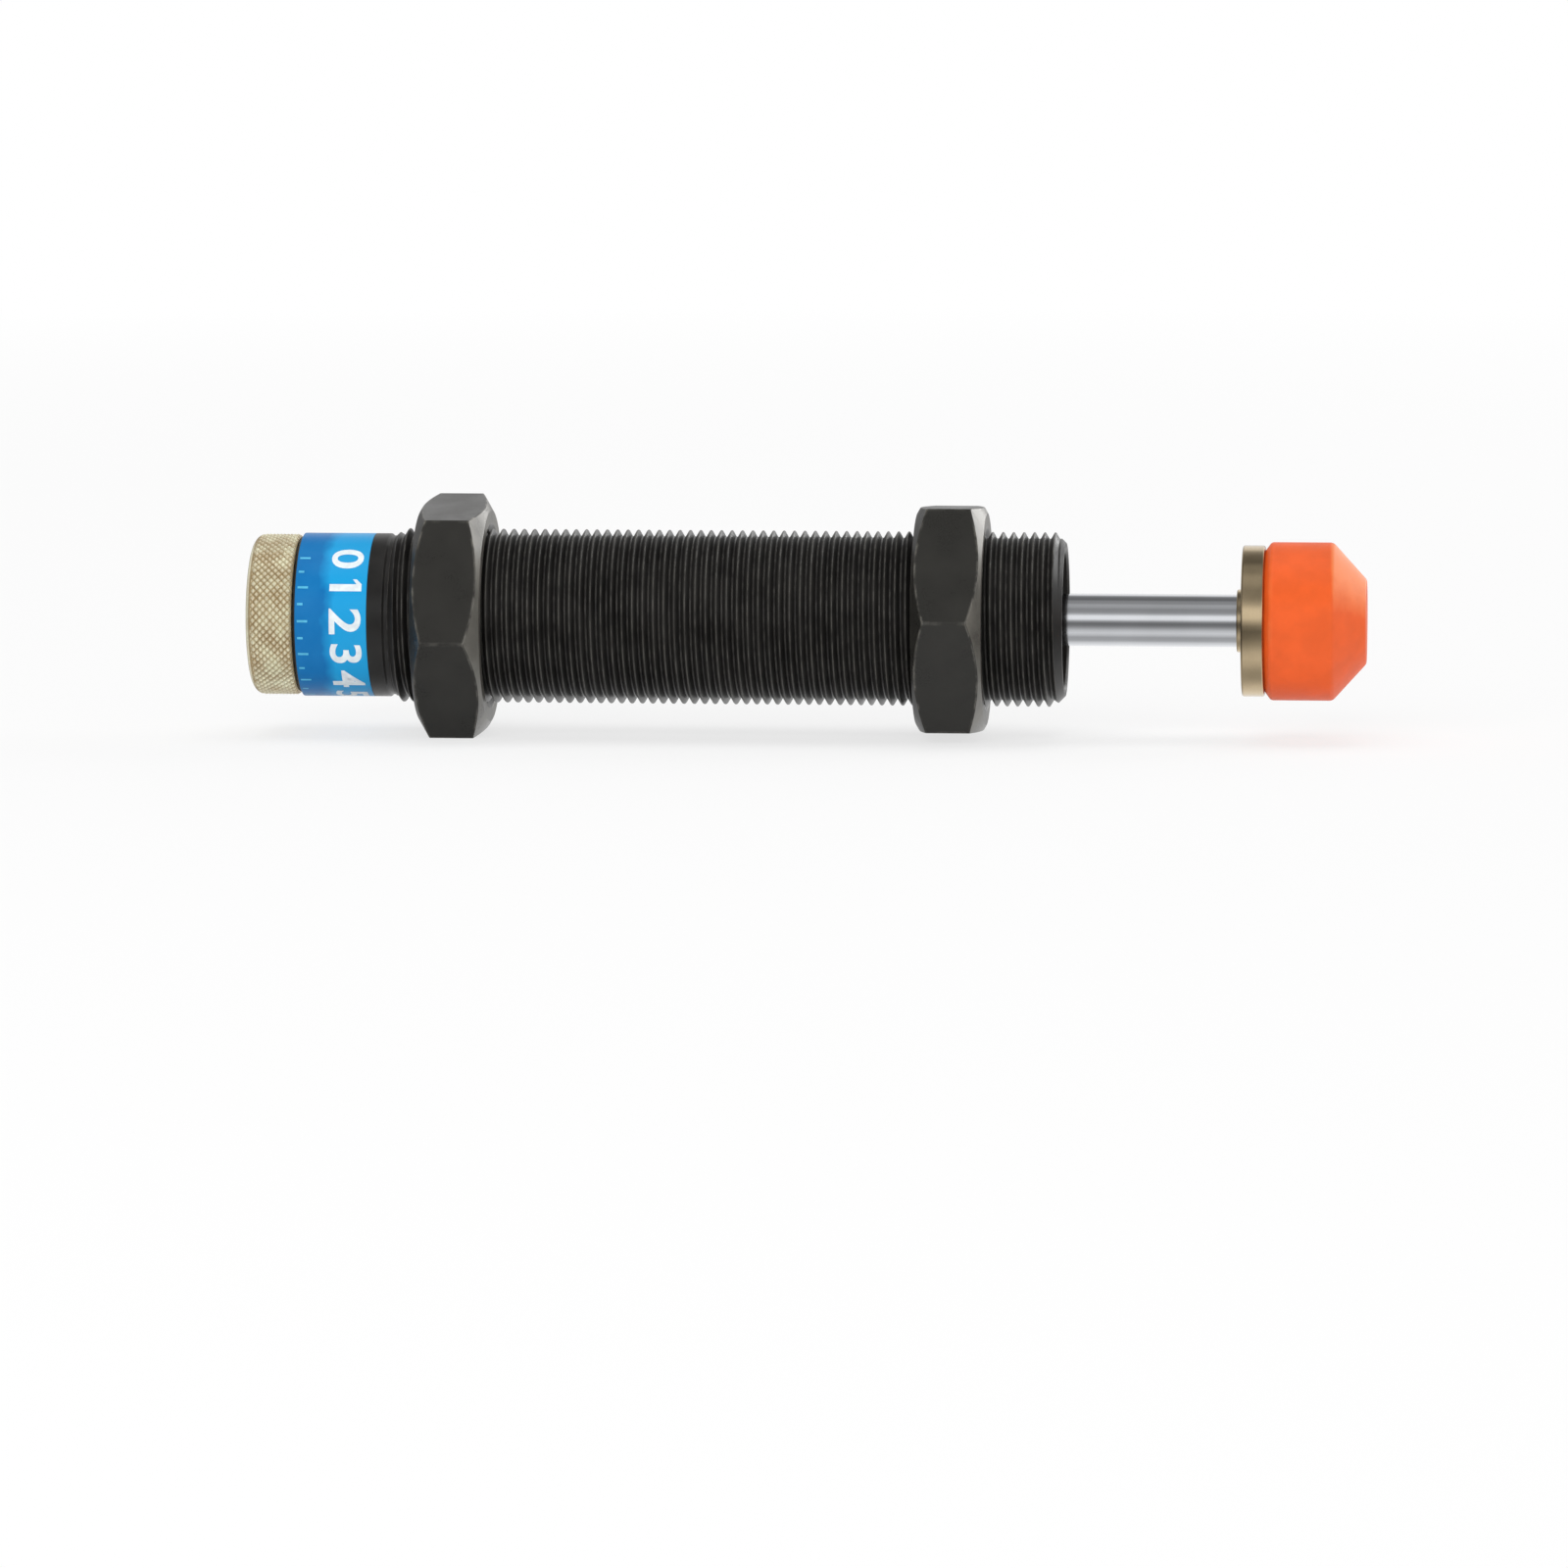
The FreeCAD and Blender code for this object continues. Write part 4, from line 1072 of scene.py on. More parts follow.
@dataclass
class ThreadedBody(SubAssembly):
    """The steel body: collar, thread, label seat, bore and the pocket in its closed end."""

    thread_radius: float = 12.5
    pitch: float = 1.5
    crest_width: float = 0.19
    root_width: float = 0.25
    thread_depth: float = 0.92
    thread_softness: float = 0.04
    lead_turns: int = 2
    relief_radius: float = 11.45
    relief_width: float = 0.5
    collar_radius: float = 11.75
    collar_front: float = -97.2
    collar_slope: float = 0.3
    collar_softness: float = 0.12
    seat_front: float = -99.4
    seat_radius: float = 11.6
    seat_softness: float = 0.1
    rear: float = -110.0
    rear_break: float = 0.3
    floor_front: float = -98.0
    bore: float = 10.0
    stem_bore: float = 3.03
    pocket_radius: float = 6.0
    pocket_front: float = -107.5
    groove_rear: float = -2.72
    groove_front: float = -1.48
    groove_radius: float = 10.5
    front_break: float = 0.3
    front_softness: float = 0.05
    port_offset: float = 7.7
    port_radius: float = 1.5
    columns: int = 96
    round_steps: int = 3

    @property
    def thread_start(self) -> float:
        """Where the thread leaves the relief groove behind it."""
        return self.collar_front + self.collar_slope + self.relief_width

    def envelope(self, along: Numbers) -> np.ndarray:
        """The largest radius that the chamfers at both ends of the thread allow.

        Args:
            along: Places along the axis.

        Returns:
            The radius at each of them.
        """
        rear = self.relief_radius + (along - self.thread_start)
        front = self.thread_radius - self.pitch - along
        return np.minimum(rear, front)

    def thread_form(self) -> list[Span]:
        """One pitch of the thread's section.

        Returns:
            Steps along the axis and depths below the crests.
        """
        flank = (self.pitch - self.crest_width - self.root_width) / 2
        crest, root, soft = self.crest_width / 2, self.root_width / 2, self.thread_softness
        slope = self.thread_depth / flank
        return [
            (-crest + soft, 0.0),
            (crest - soft, 0.0),
            (crest + soft, soft * slope),
            (crest + flank - soft, self.thread_depth - soft * slope),
            (crest + flank + soft, self.thread_depth),
            (crest + flank + 2 * root - soft, self.thread_depth),
            (crest + flank + 2 * root + soft, self.thread_depth - soft * slope),
            (self.pitch - crest - soft, soft * slope),
        ]

    def thread(self, form: Sequence[Span]) -> np.ndarray:
        """The right-hand thread, whose columns climb one pitch in a turn.

        Args:
            form: One pitch of its section.

        Returns:
            Its points as a grid.
        """
        turns = math.ceil(-self.thread_start / self.pitch) + self.lead_turns + 1
        begin = self.thread_start - self.lead_turns * self.pitch
        places = [begin + turn * self.pitch + step for turn in range(turns) for step, _ in form]
        depths = [depth for _ in range(turns) for _, depth in form]
        angle = round_angles(self.columns)
        along = np.array(places)[:, None] + angle / (2 * math.pi) * self.pitch
        along = np.clip(along, self.thread_start, 0.0)
        cut = self.thread_radius - np.array(depths)[:, None]
        return ring(along, np.minimum(cut, self.envelope(along)), angle)

    def shell(self) -> np.ndarray:
        """The rest of the body, from the thread's start round the rear and the bore to its front.

        Returns:
            The profile.
        """
        relief_rear = self.thread_start - self.relief_width
        corners = [
            (self.thread_start, self.relief_radius),
            (relief_rear, self.relief_radius, self.collar_softness),
            (self.collar_front, self.collar_radius, self.collar_softness),
            (self.seat_front, self.collar_radius, self.seat_softness),
            (self.seat_front, self.seat_radius),
            (self.rear + self.rear_break, self.seat_radius),
            (self.rear, self.seat_radius - self.rear_break),
            (self.rear, self.pocket_radius),
            (self.pocket_front, self.pocket_radius),
            (self.pocket_front, self.stem_bore),
            (self.floor_front, self.stem_bore),
            (self.floor_front, self.bore),
            (self.groove_rear, self.bore),
            (self.groove_rear, self.groove_radius),
            (self.groove_front, self.groove_radius),
            (self.groove_front, self.bore),
            (-self.front_break, self.bore, self.front_softness),
            (0.0, self.bore + self.front_break, self.front_softness),
            (0.0, float(self.envelope(0.0))),
        ]
        return softened(corners, self.round_steps)

    def build(self) -> None:
        """Makes the body and drills its fill port."""
        draft = Draft()
        form = self.thread_form()
        draft.grid(self.thread(form), around=len(form))
        draft.grid(turned(self.shell(), self.columns))
        body = draft.finish("threaded_body")
        mouth = Vector((self.rear - DRILL_LEAD, 0, -self.port_offset))
        depth = self.floor_front - self.rear + 2 * DRILL_LEAD
        drilled(body, mouth, Axis.ALONG, self.port_radius, depth)
        self.settle(body, Body.HOUSING, Slot.BODY_STEEL, Look.BLACK_BODY, "outer_body")


@dataclass
class LockNut(SubAssembly):
    """A hexagon lock nut with chamfered faces and a countersunk bore."""

    name: str
    node: str
    body: Body
    turn: float
    sides: int = 6
    flats: float = 32.0
    face_share: float = 0.95
    chamfer_angle: float = 30.0
    bore: float = 12.55
    countersink: float = 0.75
    corner_round: float = 0.5
    bore_round: float = 0.06
    sink_round: float = 0.1
    face_round: float = 0.35
    flat_round: float = 0.22
    flat_steps: int = 14
    corner_steps: int = 6
    crisp: float = 60.0

    def outline(self) -> np.ndarray:
        """The hexagon with soft corners.

        Returns:
            Angles and radii round the axis.
        """
        corner = self.flats / 2 / math.cos(math.pi / self.sides)
        angles = round_angles(self.sides)
        tips = [(corner * math.cos(a), corner * math.sin(a), self.corner_round) for a in angles]
        rounded = softened(tips, self.corner_steps)
        points: list[np.ndarray] = []
        each = self.corner_steps + 1
        for i in range(self.sides):
            arc = rounded[i * each : (i + 1) * each]
            points += list(arc)
            following = rounded[((i + 1) % self.sides) * each]
            for step in range(1, self.flat_steps):
                points.append(arc[-1] + (following - arc[-1]) * step / self.flat_steps)
        places = np.array(points)
        angle = np.arctan2(places[:, 1], places[:, 0]) + math.radians(self.turn)
        return np.stack([angle, np.hypot(places[:, 0], places[:, 1])], axis=1)

    def section(self, rear: float, front: float, reach: float) -> np.ndarray:
        """The nut's section at one angle, with the chamfers run out to where the flat lies.

        Args:
            rear: Where the rear face lies.
            front: Where the front face lies.
            reach: The flat's distance from the axis at this angle.

        Returns:
            The section's points.
        """
        face = self.flats / 2 * self.face_share
        drop = (reach - face) * math.tan(math.radians(self.chamfer_angle))
        sink = self.bore + self.countersink
        corners = [
            (rear + self.countersink, self.bore, self.bore_round),
            (rear, sink, self.sink_round),
            (rear, face, self.face_round),
            (rear + drop, reach, self.flat_round),
            (front - drop, reach, self.flat_round),
            (front, face, self.face_round),
            (front, sink, self.sink_round),
            (front - self.countersink, self.bore, self.bore_round),
        ]
        return softened(corners)

    def build(self) -> None:
        """Makes the nut where its node lies."""
        low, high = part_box(self.node)
        columns = []
        for angle, reach in self.outline():
            profile = self.section(low.x / MM, high.x / MM, reach)
            columns.append(ring(profile[:, 0], profile[:, 1], angle))
        draft = Draft()
        draft.grid(np.stack(columns, axis=1), loop=True)
        nut = draft.finish(self.name, self.crisp)
        self.settle(nut, self.body, Slot.NUT_STEEL, Look.BLACK_NUT, self.node)


@dataclass
class AdjusterKnob(SubAssembly):
    """The adjusting knob, diamond-knurled round its rim and dished behind."""

    front: float = -110.25
    rear: float = -117.0
    radius: float = 11.6
    rear_round: float = 1.8
    rear_steps: int = 7
    front_break: float = 0.45
    front_softness: float = 0.04
    teeth: int = 66
    tooth_length: float = 1.0
    knurl_depth: float = 0.38
    flat_top: float = 0.8
    cells: int = 4
    dish_radius: float = 7.0
    dish_depth: float = 0.6
    dish_softness: float = 0.12
    socket_radius: float = 3.02
    socket_depth: float = 5.0
    hole_radius: float = 1.5
    hole_place: float = -113.5
    hole_lead: float = 0.5
    index_angle: float = 252.0
    index_place: float = 8.4
    index_radius: float = 0.65
    index_depth: float = 0.35
    paint_depth: float = 0.1
    paint_gap: float = 0.02
    paint_edge: float = 0.1
    paint_columns: int = 32
    round_steps: int = 3

    @property
    def columns(self) -> int:
        """How many columns of points the knurl has round the knob."""
        return 2 * self.cells * self.teeth

    def envelope(self, along: float) -> float:
        """The radius of the turned blank: a small break in front and a rounding behind.

        Args:
            along: A place along the axis.

        Returns:
            The radius there.
        """
        front = self.radius - self.front_break + (self.front - along)
        into = min(max(self.rear + self.rear_round - along, 0), self.rear_round)
        behind = self.radius - self.rear_round + math.sqrt(self.rear_round**2 - into**2)
        return min(front, behind, self.radius)

    def knurl_ends(self) -> Span:
        """Where the knurl's cuts run out.

        Returns:
            Their front end and their rear end.
        """
        front = self.front - (self.front_break - self.knurl_depth)
        run = math.sqrt(self.rear_round**2 - (self.rear_round - self.knurl_depth) ** 2)
        return front, self.rear + self.rear_round - run

    def rise(self, row: int, column: int) -> float:
        """How high the knurl stands at a point of its lattice.

        Args:
            row: The point's row, counted from the front.
            column: Its column.

        Returns:
            0 in a cut, and 1 on a tooth's flat top.
        """
        across = ((column + row) // 2 % self.cells) / self.cells
        back = ((column - row) // 2 % self.cells) / self.cells
        height = 2 * min(across, 1 - across, back, 1 - back)
        return min(height, self.flat_top) / self.flat_top

    def knurl(self, draft: Draft) -> None:
        """Adds the knurled band: a lattice of four-sided faces that follows both sets of cuts.

        Args:
            draft: The knob's mesh in the making.
        """
        front, rear = self.knurl_ends()
        rows = round((front - rear) / self.tooth_length * 2 * self.cells)
        numbers: dict[tuple[int, int], int] = {}
        points = []
        for row in range(-1, rows + 2):
            place = front - (front - rear) * min(max(row, 0), rows) / rows
            limit = self.envelope(place)
            for column in range(row % 2, self.columns, 2):
                cut = self.knurl_depth * (1 - self.rise(row, column))
                radius = min(self.radius - cut, limit)
                angle = column * 2 * math.pi / self.columns
                numbers[row, column] = len(points)
                points.append((place, radius * math.cos(angle), radius * math.sin(angle)))
        first = draft.take(np.array(points))
        for row in range(rows + 1):
            for column in range(row % 2, self.columns, 2):
                beside, across = (column + 1) % self.columns, (column + 2) % self.columns
                corners = ((row, column), (row + 1, beside), (row, across), (row - 1, beside))
                draft.faces.append(tuple(first + numbers[corner] for corner in corners))

    def blank(self) -> np.ndarray:
        """The rest of the knob, from the knurl's rear end round to its front end.

        Returns:
            The profile.
        """
        front_end, rear_end = self.knurl_ends()
        centre = self.rear + self.rear_round
        begin = math.asin((centre - rear_end) / self.rear_round)
        arc = [
            (centre - self.rear_round * math.sin(t), self.radius - self.rear_round * (1 - math.cos(t)))
            for t in np.linspace(begin, math.pi / 2, self.rear_steps + 1)
        ]
        corners = [
            (self.rear, self.dish_radius, self.dish_softness),
            (self.rear + self.dish_depth, self.dish_radius - self.dish_depth, self.dish_softness),
            (self.rear + self.dish_depth, 0.0),
            (self.front - self.socket_depth, 0.0),
            (self.front - self.socket_depth, self.socket_radius),
            (self.front, self.socket_radius),
            (self.front, self.radius - self.front_break, self.front_softness),
            (front_end, self.radius - self.knurl_depth),
        ]
        return np.concatenate([np.array(arc), softened(corners, self.round_steps)])

    def index_centre(self) -> np.ndarray:
        """The index dimple's offset from the axis."""
        angle = math.radians(self.index_angle)
        return np.array([0.0, math.cos(angle), math.sin(angle)]) * self.index_place

    def index(self) -> None:
        """Drops paint into the index dimple, whose setting is read on the dial."""
        floor = self.rear + self.index_depth
        top = floor - self.paint_depth
        radius = self.index_radius - self.paint_gap
        profile = [(floor, 0.0), (floor, radius), (top, radius - self.paint_edge), (top, 0.0)]
        draft = Draft()
        draft.grid(turned(np.array(profile), self.paint_columns) + self.index_centre())
        paint = draft.finish("knob_index")
        self.settle(paint, Body.ADJUSTER, Slot.KNOB_NICKEL, Look.WHITE_INK)

    def build(self) -> None:
        """Makes the knob and drills the hole of its set screw, which faces away from the dial's front."""
        draft = Draft()
        self.knurl(draft)
        draft.grid(turned(self.blank(), self.columns))
        knob = draft.finish("knurled_knob")
        mouth = Vector((self.hole_place, self.socket_radius - self.hole_lead, 0))
        drilled(knob, mouth, Axis.ACROSS, self.hole_radius, self.radius)
        dimple = Vector(self.index_centre()) + Vector((self.rear - DRILL_LEAD, 0, 0))
        drilled(knob, dimple, Axis.ALONG, self.index_radius, DRILL_LEAD + self.index_depth)
        self.settle(knob, Body.ADJUSTER, Slot.KNOB_NICKEL, Look.KNURLED_NICKEL, "adjuster_knob")
        self.index()


@dataclass
class ScaleBand(SubAssembly):
    """The blue film round the body, with its dial of plain digits and division marks.

    The digits' boldness and the reach of the strips that cut them up are in the letters' own
    unit, before they get their height.
    """

    rear: float = -109.7
    front: float = -99.4
    radius: float = 11.75
    thickness: float = 0.15
    softness: float = 0.05
    columns: int = 160
    edge_steps: int = 2
    ink: float = 0.02
    digits: str = "0123456789"
    digit_height: float = 4.6
    digit_stretch: float = 1.25
    digit_boldness: float = 0.018
    digit_smoothness: int = 6
    digit_rear: float = -104.75
    digit_step: float = 24.0
    first_digit: float = 132.0
    strips: int = 16
    strip_reach: float = 0.4
    flag: float = 0.75
    flag_fall: float = 1.7
    mark_step: float = 12.0
    mark_width: float = 0.34
    mark_lengths: Span = (0.8, 1.5)
    mark_rear: float = -109.35

    def film(self) -> None:
        """Makes the film, with thin soft edges."""
        inner = self.radius - self.thickness
        corners = [
            (self.rear, inner),
            (self.rear, self.radius, self.softness),
            (self.front, self.radius, self.softness),
            (self.front, inner),
        ]
        film = lathed("scale_film", corners, self.columns, self.edge_steps)
        self.settle(film, Body.HOUSING, Slot.SCALE_FILM, Look.BLUE_FILM, "scale_label")

    def glyph(self, letter: str) -> tuple[np.ndarray, list[tuple[int, ...]]]:
        """A digit as a thin flat mesh cut into strips, so that it can be wrapped.

        Args:
            letter: The digit.

        Returns:
            Its points, in millimetres with the middle of its foot at the origin, and its faces.
        """
        curve = bpy.data.curves.new("glyph", "FONT")
        curve.body = letter
        curve.align_x = "CENTER"
        curve.offset = self.digit_boldness
        curve.resolution_u = self.digit_smoothness
        holder = linked("glyph", curve)
        flat = worked_out(holder)
        bpy.data.objects.remove(holder)
        shape = bmesh.new()
        shape.from_mesh(flat)
        for place in np.linspace(-self.strip_reach, self.strip_reach, self.strips + 1):
            geometry = shape.verts[:] + shape.edges[:] + shape.faces[:]
            bmesh.ops.bisect_plane(shape, geom=geometry, plane_co=(place, 0, 0), plane_no=(1, 0, 0))
        points = np.array([v.co for v in shape.verts])
        shape.verts.index_update()
        faces = [tuple(v.index for v in f.verts) for f in shape.faces]
        shape.free()
        foot, height = points[:, 1].min(), np.ptp(points[:, 1])
        points[:, 1] -= foot
        points[:, 0] *= self.digit_stretch
        points *= self.digit_height / height
        if letter == "1":
            faces.append(tuple(range(len(points), len(points) + 4)))
            points = np.concatenate([points, self.one_flag(points)])
        return points, faces

    def one_flag(self, points: np.ndarray) -> np.ndarray:
        """The slanting flag of the digit 1, whose letter form is a plain bar.

        Args:
            points: The bar's points.

        Returns:
            The flag's four corners.
        """
        left, top = points[:, 0].min(), points[:, 1].max()
        tip, low = left - self.flag, top - self.flag
        lowest = top - self.flag_fall * self.flag
        return np.array([(left, top, 0), (tip, low, 0), (tip, lowest, 0), (left, low, 0)])

    def wrapped(
        self, draft: Draft, shape: tuple[np.ndarray, list[tuple[int, ...]]], degrees: float, along: float
    ) -> None:
        """Lays a flat shape on the film: its width goes round and its height along the axis.

        Args:
            draft: The print's mesh in the making.
            shape: The shape's points and faces.
            degrees: Where its middle lies round the axis.
            along: Where its foot lies along the axis.
        """
        points, faces = shape
        angles = math.radians(degrees) + points[:, 0] / self.radius
        first = draft.take(ring(along + points[:, 1], self.radius + self.ink, angles))
        draft.faces += [tuple(first + i for i in face) for face in faces]

    def dial(self) -> None:
        """Makes the digits, which read from the top down with their heads towards the rod."""
        draft = Draft()
        for i, letter in enumerate(self.digits):
            angle = self.first_digit + i * self.digit_step
            self.wrapped(draft, self.glyph(letter), angle, self.digit_rear)
        digits = draft.finish("scale_digits")
        self.settle(digits, Body.HOUSING, Slot.SCALE_FILM, Look.WHITE_INK)

    def marks(self) -> None:
        """Makes the division marks along the edge by the knob, longer at each digit."""
        draft = Draft()
        per_digit = round(self.digit_step / self.mark_step)
        total = (len(self.digits) - 1) * per_digit
        half = self.mark_width / 2
        for i in range(total + 1):
            length = self.mark_lengths[i % per_digit == 0]
            box = np.array([(-half, 0, 0), (half, 0, 0), (half, length, 0), (-half, length, 0)])
            angle = self.first_digit + i * self.mark_step
            self.wrapped(draft, (box, [(0, 1, 2, 3)]), angle, self.mark_rear)
        marks = draft.finish("scale_marks")
        self.settle(marks, Body.HOUSING, Slot.SCALE_FILM, Look.PALE_INK)

    def build(self) -> None:
        """Makes the film and what is printed on it."""
        self.film()
        self.dial()
        self.marks()


@dataclass
class RodEnd(SubAssembly):
    """The rod's steel cap with its barbed stud, and the urethane bumper snapped on to it."""

    boss_radius: float = 4.5
    boss_length: float = 0.8
    boss_edge: float = 0.2
    boss_root: float = 0.1
    cap_radius: float = 10.8
    cap_length: float = 3.2
    cap_edge: float = 0.3
    neck_radius: float = 4.0
    neck_length: float = 2.5
    barb_radius: float = 5.3
    barb_length: float = 3.6
    barb_root: float = 0.1
    barb_edge: float = 0.3
    stud_radius: float = 2.52
    stud_depth: float = 7.02
    bumper_radius: float = 11.3
    face_radius: float = 6.0
    cone_length: float = 4.8
    lip_length: float = 0.9
    lip_fall: float = 1.26
    lip_rounds: Span = (0.3, 0.7)
    cone_rounds: Span = (1.1, 0.9)
    slip: float = 0.02
    columns: int = 144
    bumper_steps: int = 6

    def cap(self, rear: float) -> None:
        """Makes the cap.

        Args:
            rear: Where the rear face of its boss lies.
        """
        back = rear + self.boss_length
        front = back + self.cap_length
        head = front + self.neck_length
        tip = head + self.barb_length
        corners = [
            (rear, self.stud_radius),
            (rear, self.boss_radius, self.boss_edge),
            (back, self.boss_radius, self.boss_root),
            (back, self.cap_radius, self.cap_edge),
            (front, self.cap_radius, self.cap_edge),
            (front, self.neck_radius),
            (head, self.neck_radius),
            (head, self.barb_radius, self.barb_root),
            (head + self.barb_length / 2, self.barb_radius, self.barb_edge),
            (tip, self.neck_radius, self.barb_edge),
            (tip, 0.0),
            (rear + self.stud_depth, 0.0),
            (rear + self.stud_depth, self.stud_radius),
        ]
        cap = lathed("rod_cap", corners, self.columns)
        self.settle(cap, Body.PLUNGER, Slot.CAP_STEEL, Look.CAP_STEEL, "rod_end_cap")

    def bumper(self, rear: float, front: float) -> None:
        """Makes the bumper.

        Args:
            rear: Where the face at the cap lies.
            front: Where the face that meets the load lies.
        """
        hole = self.neck_radius + self.slip
        head = self.barb_radius + self.slip
        shoulder = rear + self.neck_length
        deep = shoulder + self.barb_length + self.slip
        corners = [
            (rear, hole),
            (rear, self.bumper_radius - self.lip_fall, self.lip_rounds[0]),
            (rear + self.lip_length, self.bumper_radius, self.lip_rounds[1]),
            (front - self.cone_length, self.bumper_radius, self.cone_rounds[0]),
            (front, self.face_radius, self.cone_rounds[1]),
            (front, 0.0),
            (deep, 0.0),
            (deep, hole),
            (shoulder + self.barb_length / 2, head),
            (shoulder - self.slip, head),
            (shoulder - self.slip, hole),
        ]
        bumper = lathed("bumper", corners, self.columns, self.bumper_steps)
        self.settle(
            bumper, Body.PLUNGER, Slot.BUMPER_URETHANE, Look.ORANGE_URETHANE, "urethane_bumper"
        )

    def build(self) -> None:
        """Makes both where their nodes lie."""
        self.cap(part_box("rod_end_cap")[0].x / MM)
        low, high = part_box("urethane_bumper")
        self.bumper(low.x / MM, high.x / MM)


@dataclass
class ReturnSpring(SubAssembly):
    """The compression spring behind the piston; the real one shortens as the rod goes in."""

    wire: float = 1.0
    mean_radius: float = 5.0
    turns: float = 9.0
    per_turn: int = 40
    sides: int = 12
    stroke: float = 25.0
    crisp: float = 60.0

    def build(self) -> None:
        """Makes the coil between the frame's two ends of it."""
        low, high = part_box("return_spring")
        begin, end = low.x / MM + self.wire / 2, high.x / MM - self.wire / 2
        steps = round(self.turns * self.per_turn)
        share = np.linspace(0, 1, steps + 1)
        angle = share * self.turns * 2 * math.pi
        section = round_angles(self.sides)
        along = (begin + share * (end - begin))[:, None] + np.cos(section) * self.wire / 2
        radius = self.mean_radius + np.sin(section) * self.wire / 2
        draft = Draft()
        draft.grid(ring(along, radius, angle[:, None]))
        draft.faces.append(tuple(range(self.sides)))
        draft.faces.append(tuple(range(steps * self.sides, (steps + 1) * self.sides)))
        spring = draft.finish("coil_spring", self.crisp)
        self.settle(spring, Body.HOUSING, Slot.SPRING_STEEL, Look.SPRING_STEEL, "return_spring")
        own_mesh(spring)


@dataclass
class FrameParts(SubAssembly):
    """The frame's own nodes that stay as they are and only get a finish."""

    looks: dict[Look, tuple[str, ...]] = field(
        default_factory=lambda: {
            Look.HARD_CHROME: ("piston_rod",),
            Look.BEARING_BRONZE: ("front_bearing", "metering_sleeve"),
            Look.SPRING_STEEL: ("retaining_ring", "shaft_circlip", "check_disc"),
            Look.SEAL_RUBBER: ("wiper_seal", "rod_seal", "guide_ring_seal", "shaft_ring_seal"),
            Look.INNER_STEEL: ("rod_guide", "pressure_tube", "tube_base", "adjuster_shaft", "piston"),
            Look.GREY_FOAM: ("accumulator_foam",),
            Look.SCREW_STEEL: ("fill_screw", "knob_lock_screw", "piston_nut"),
            Look.RING_POLYMER: ("piston_ring",),
        }
    )

    def build(self) -> None:
        """Puts each finish on its nodes."""
        for look, nodes in self.looks.items():
            for name in nodes:
                self.coat(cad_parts[name], look)
                log.info("%s: %s", name, look.name.lower())


# Studio


@dataclass(frozen=True)
class Softbox:
    """An oblong lamp, with its place and size in metres."""

    name: str
    place: Triple
    size: Span
    power: float
    mirrored: bool = False

    def build(self, target: Vector) -> None:
        """Hangs the lamp.

        Args:
            target: The point that it faces.
        """
        lamp = bpy.data.lights.new(self.name, "AREA")
        lamp.shape = "RECTANGLE"
        lamp.size, lamp.size_y = self.size
        lamp.energy = self.power
        holder = linked(self.name, lamp)
        holder.visible_glossy = self.mirrored
        holder.location = self.place
        holder.rotation_euler = (target - Vector(self.place)).to_track_quat("-Z", "Y").to_euler()


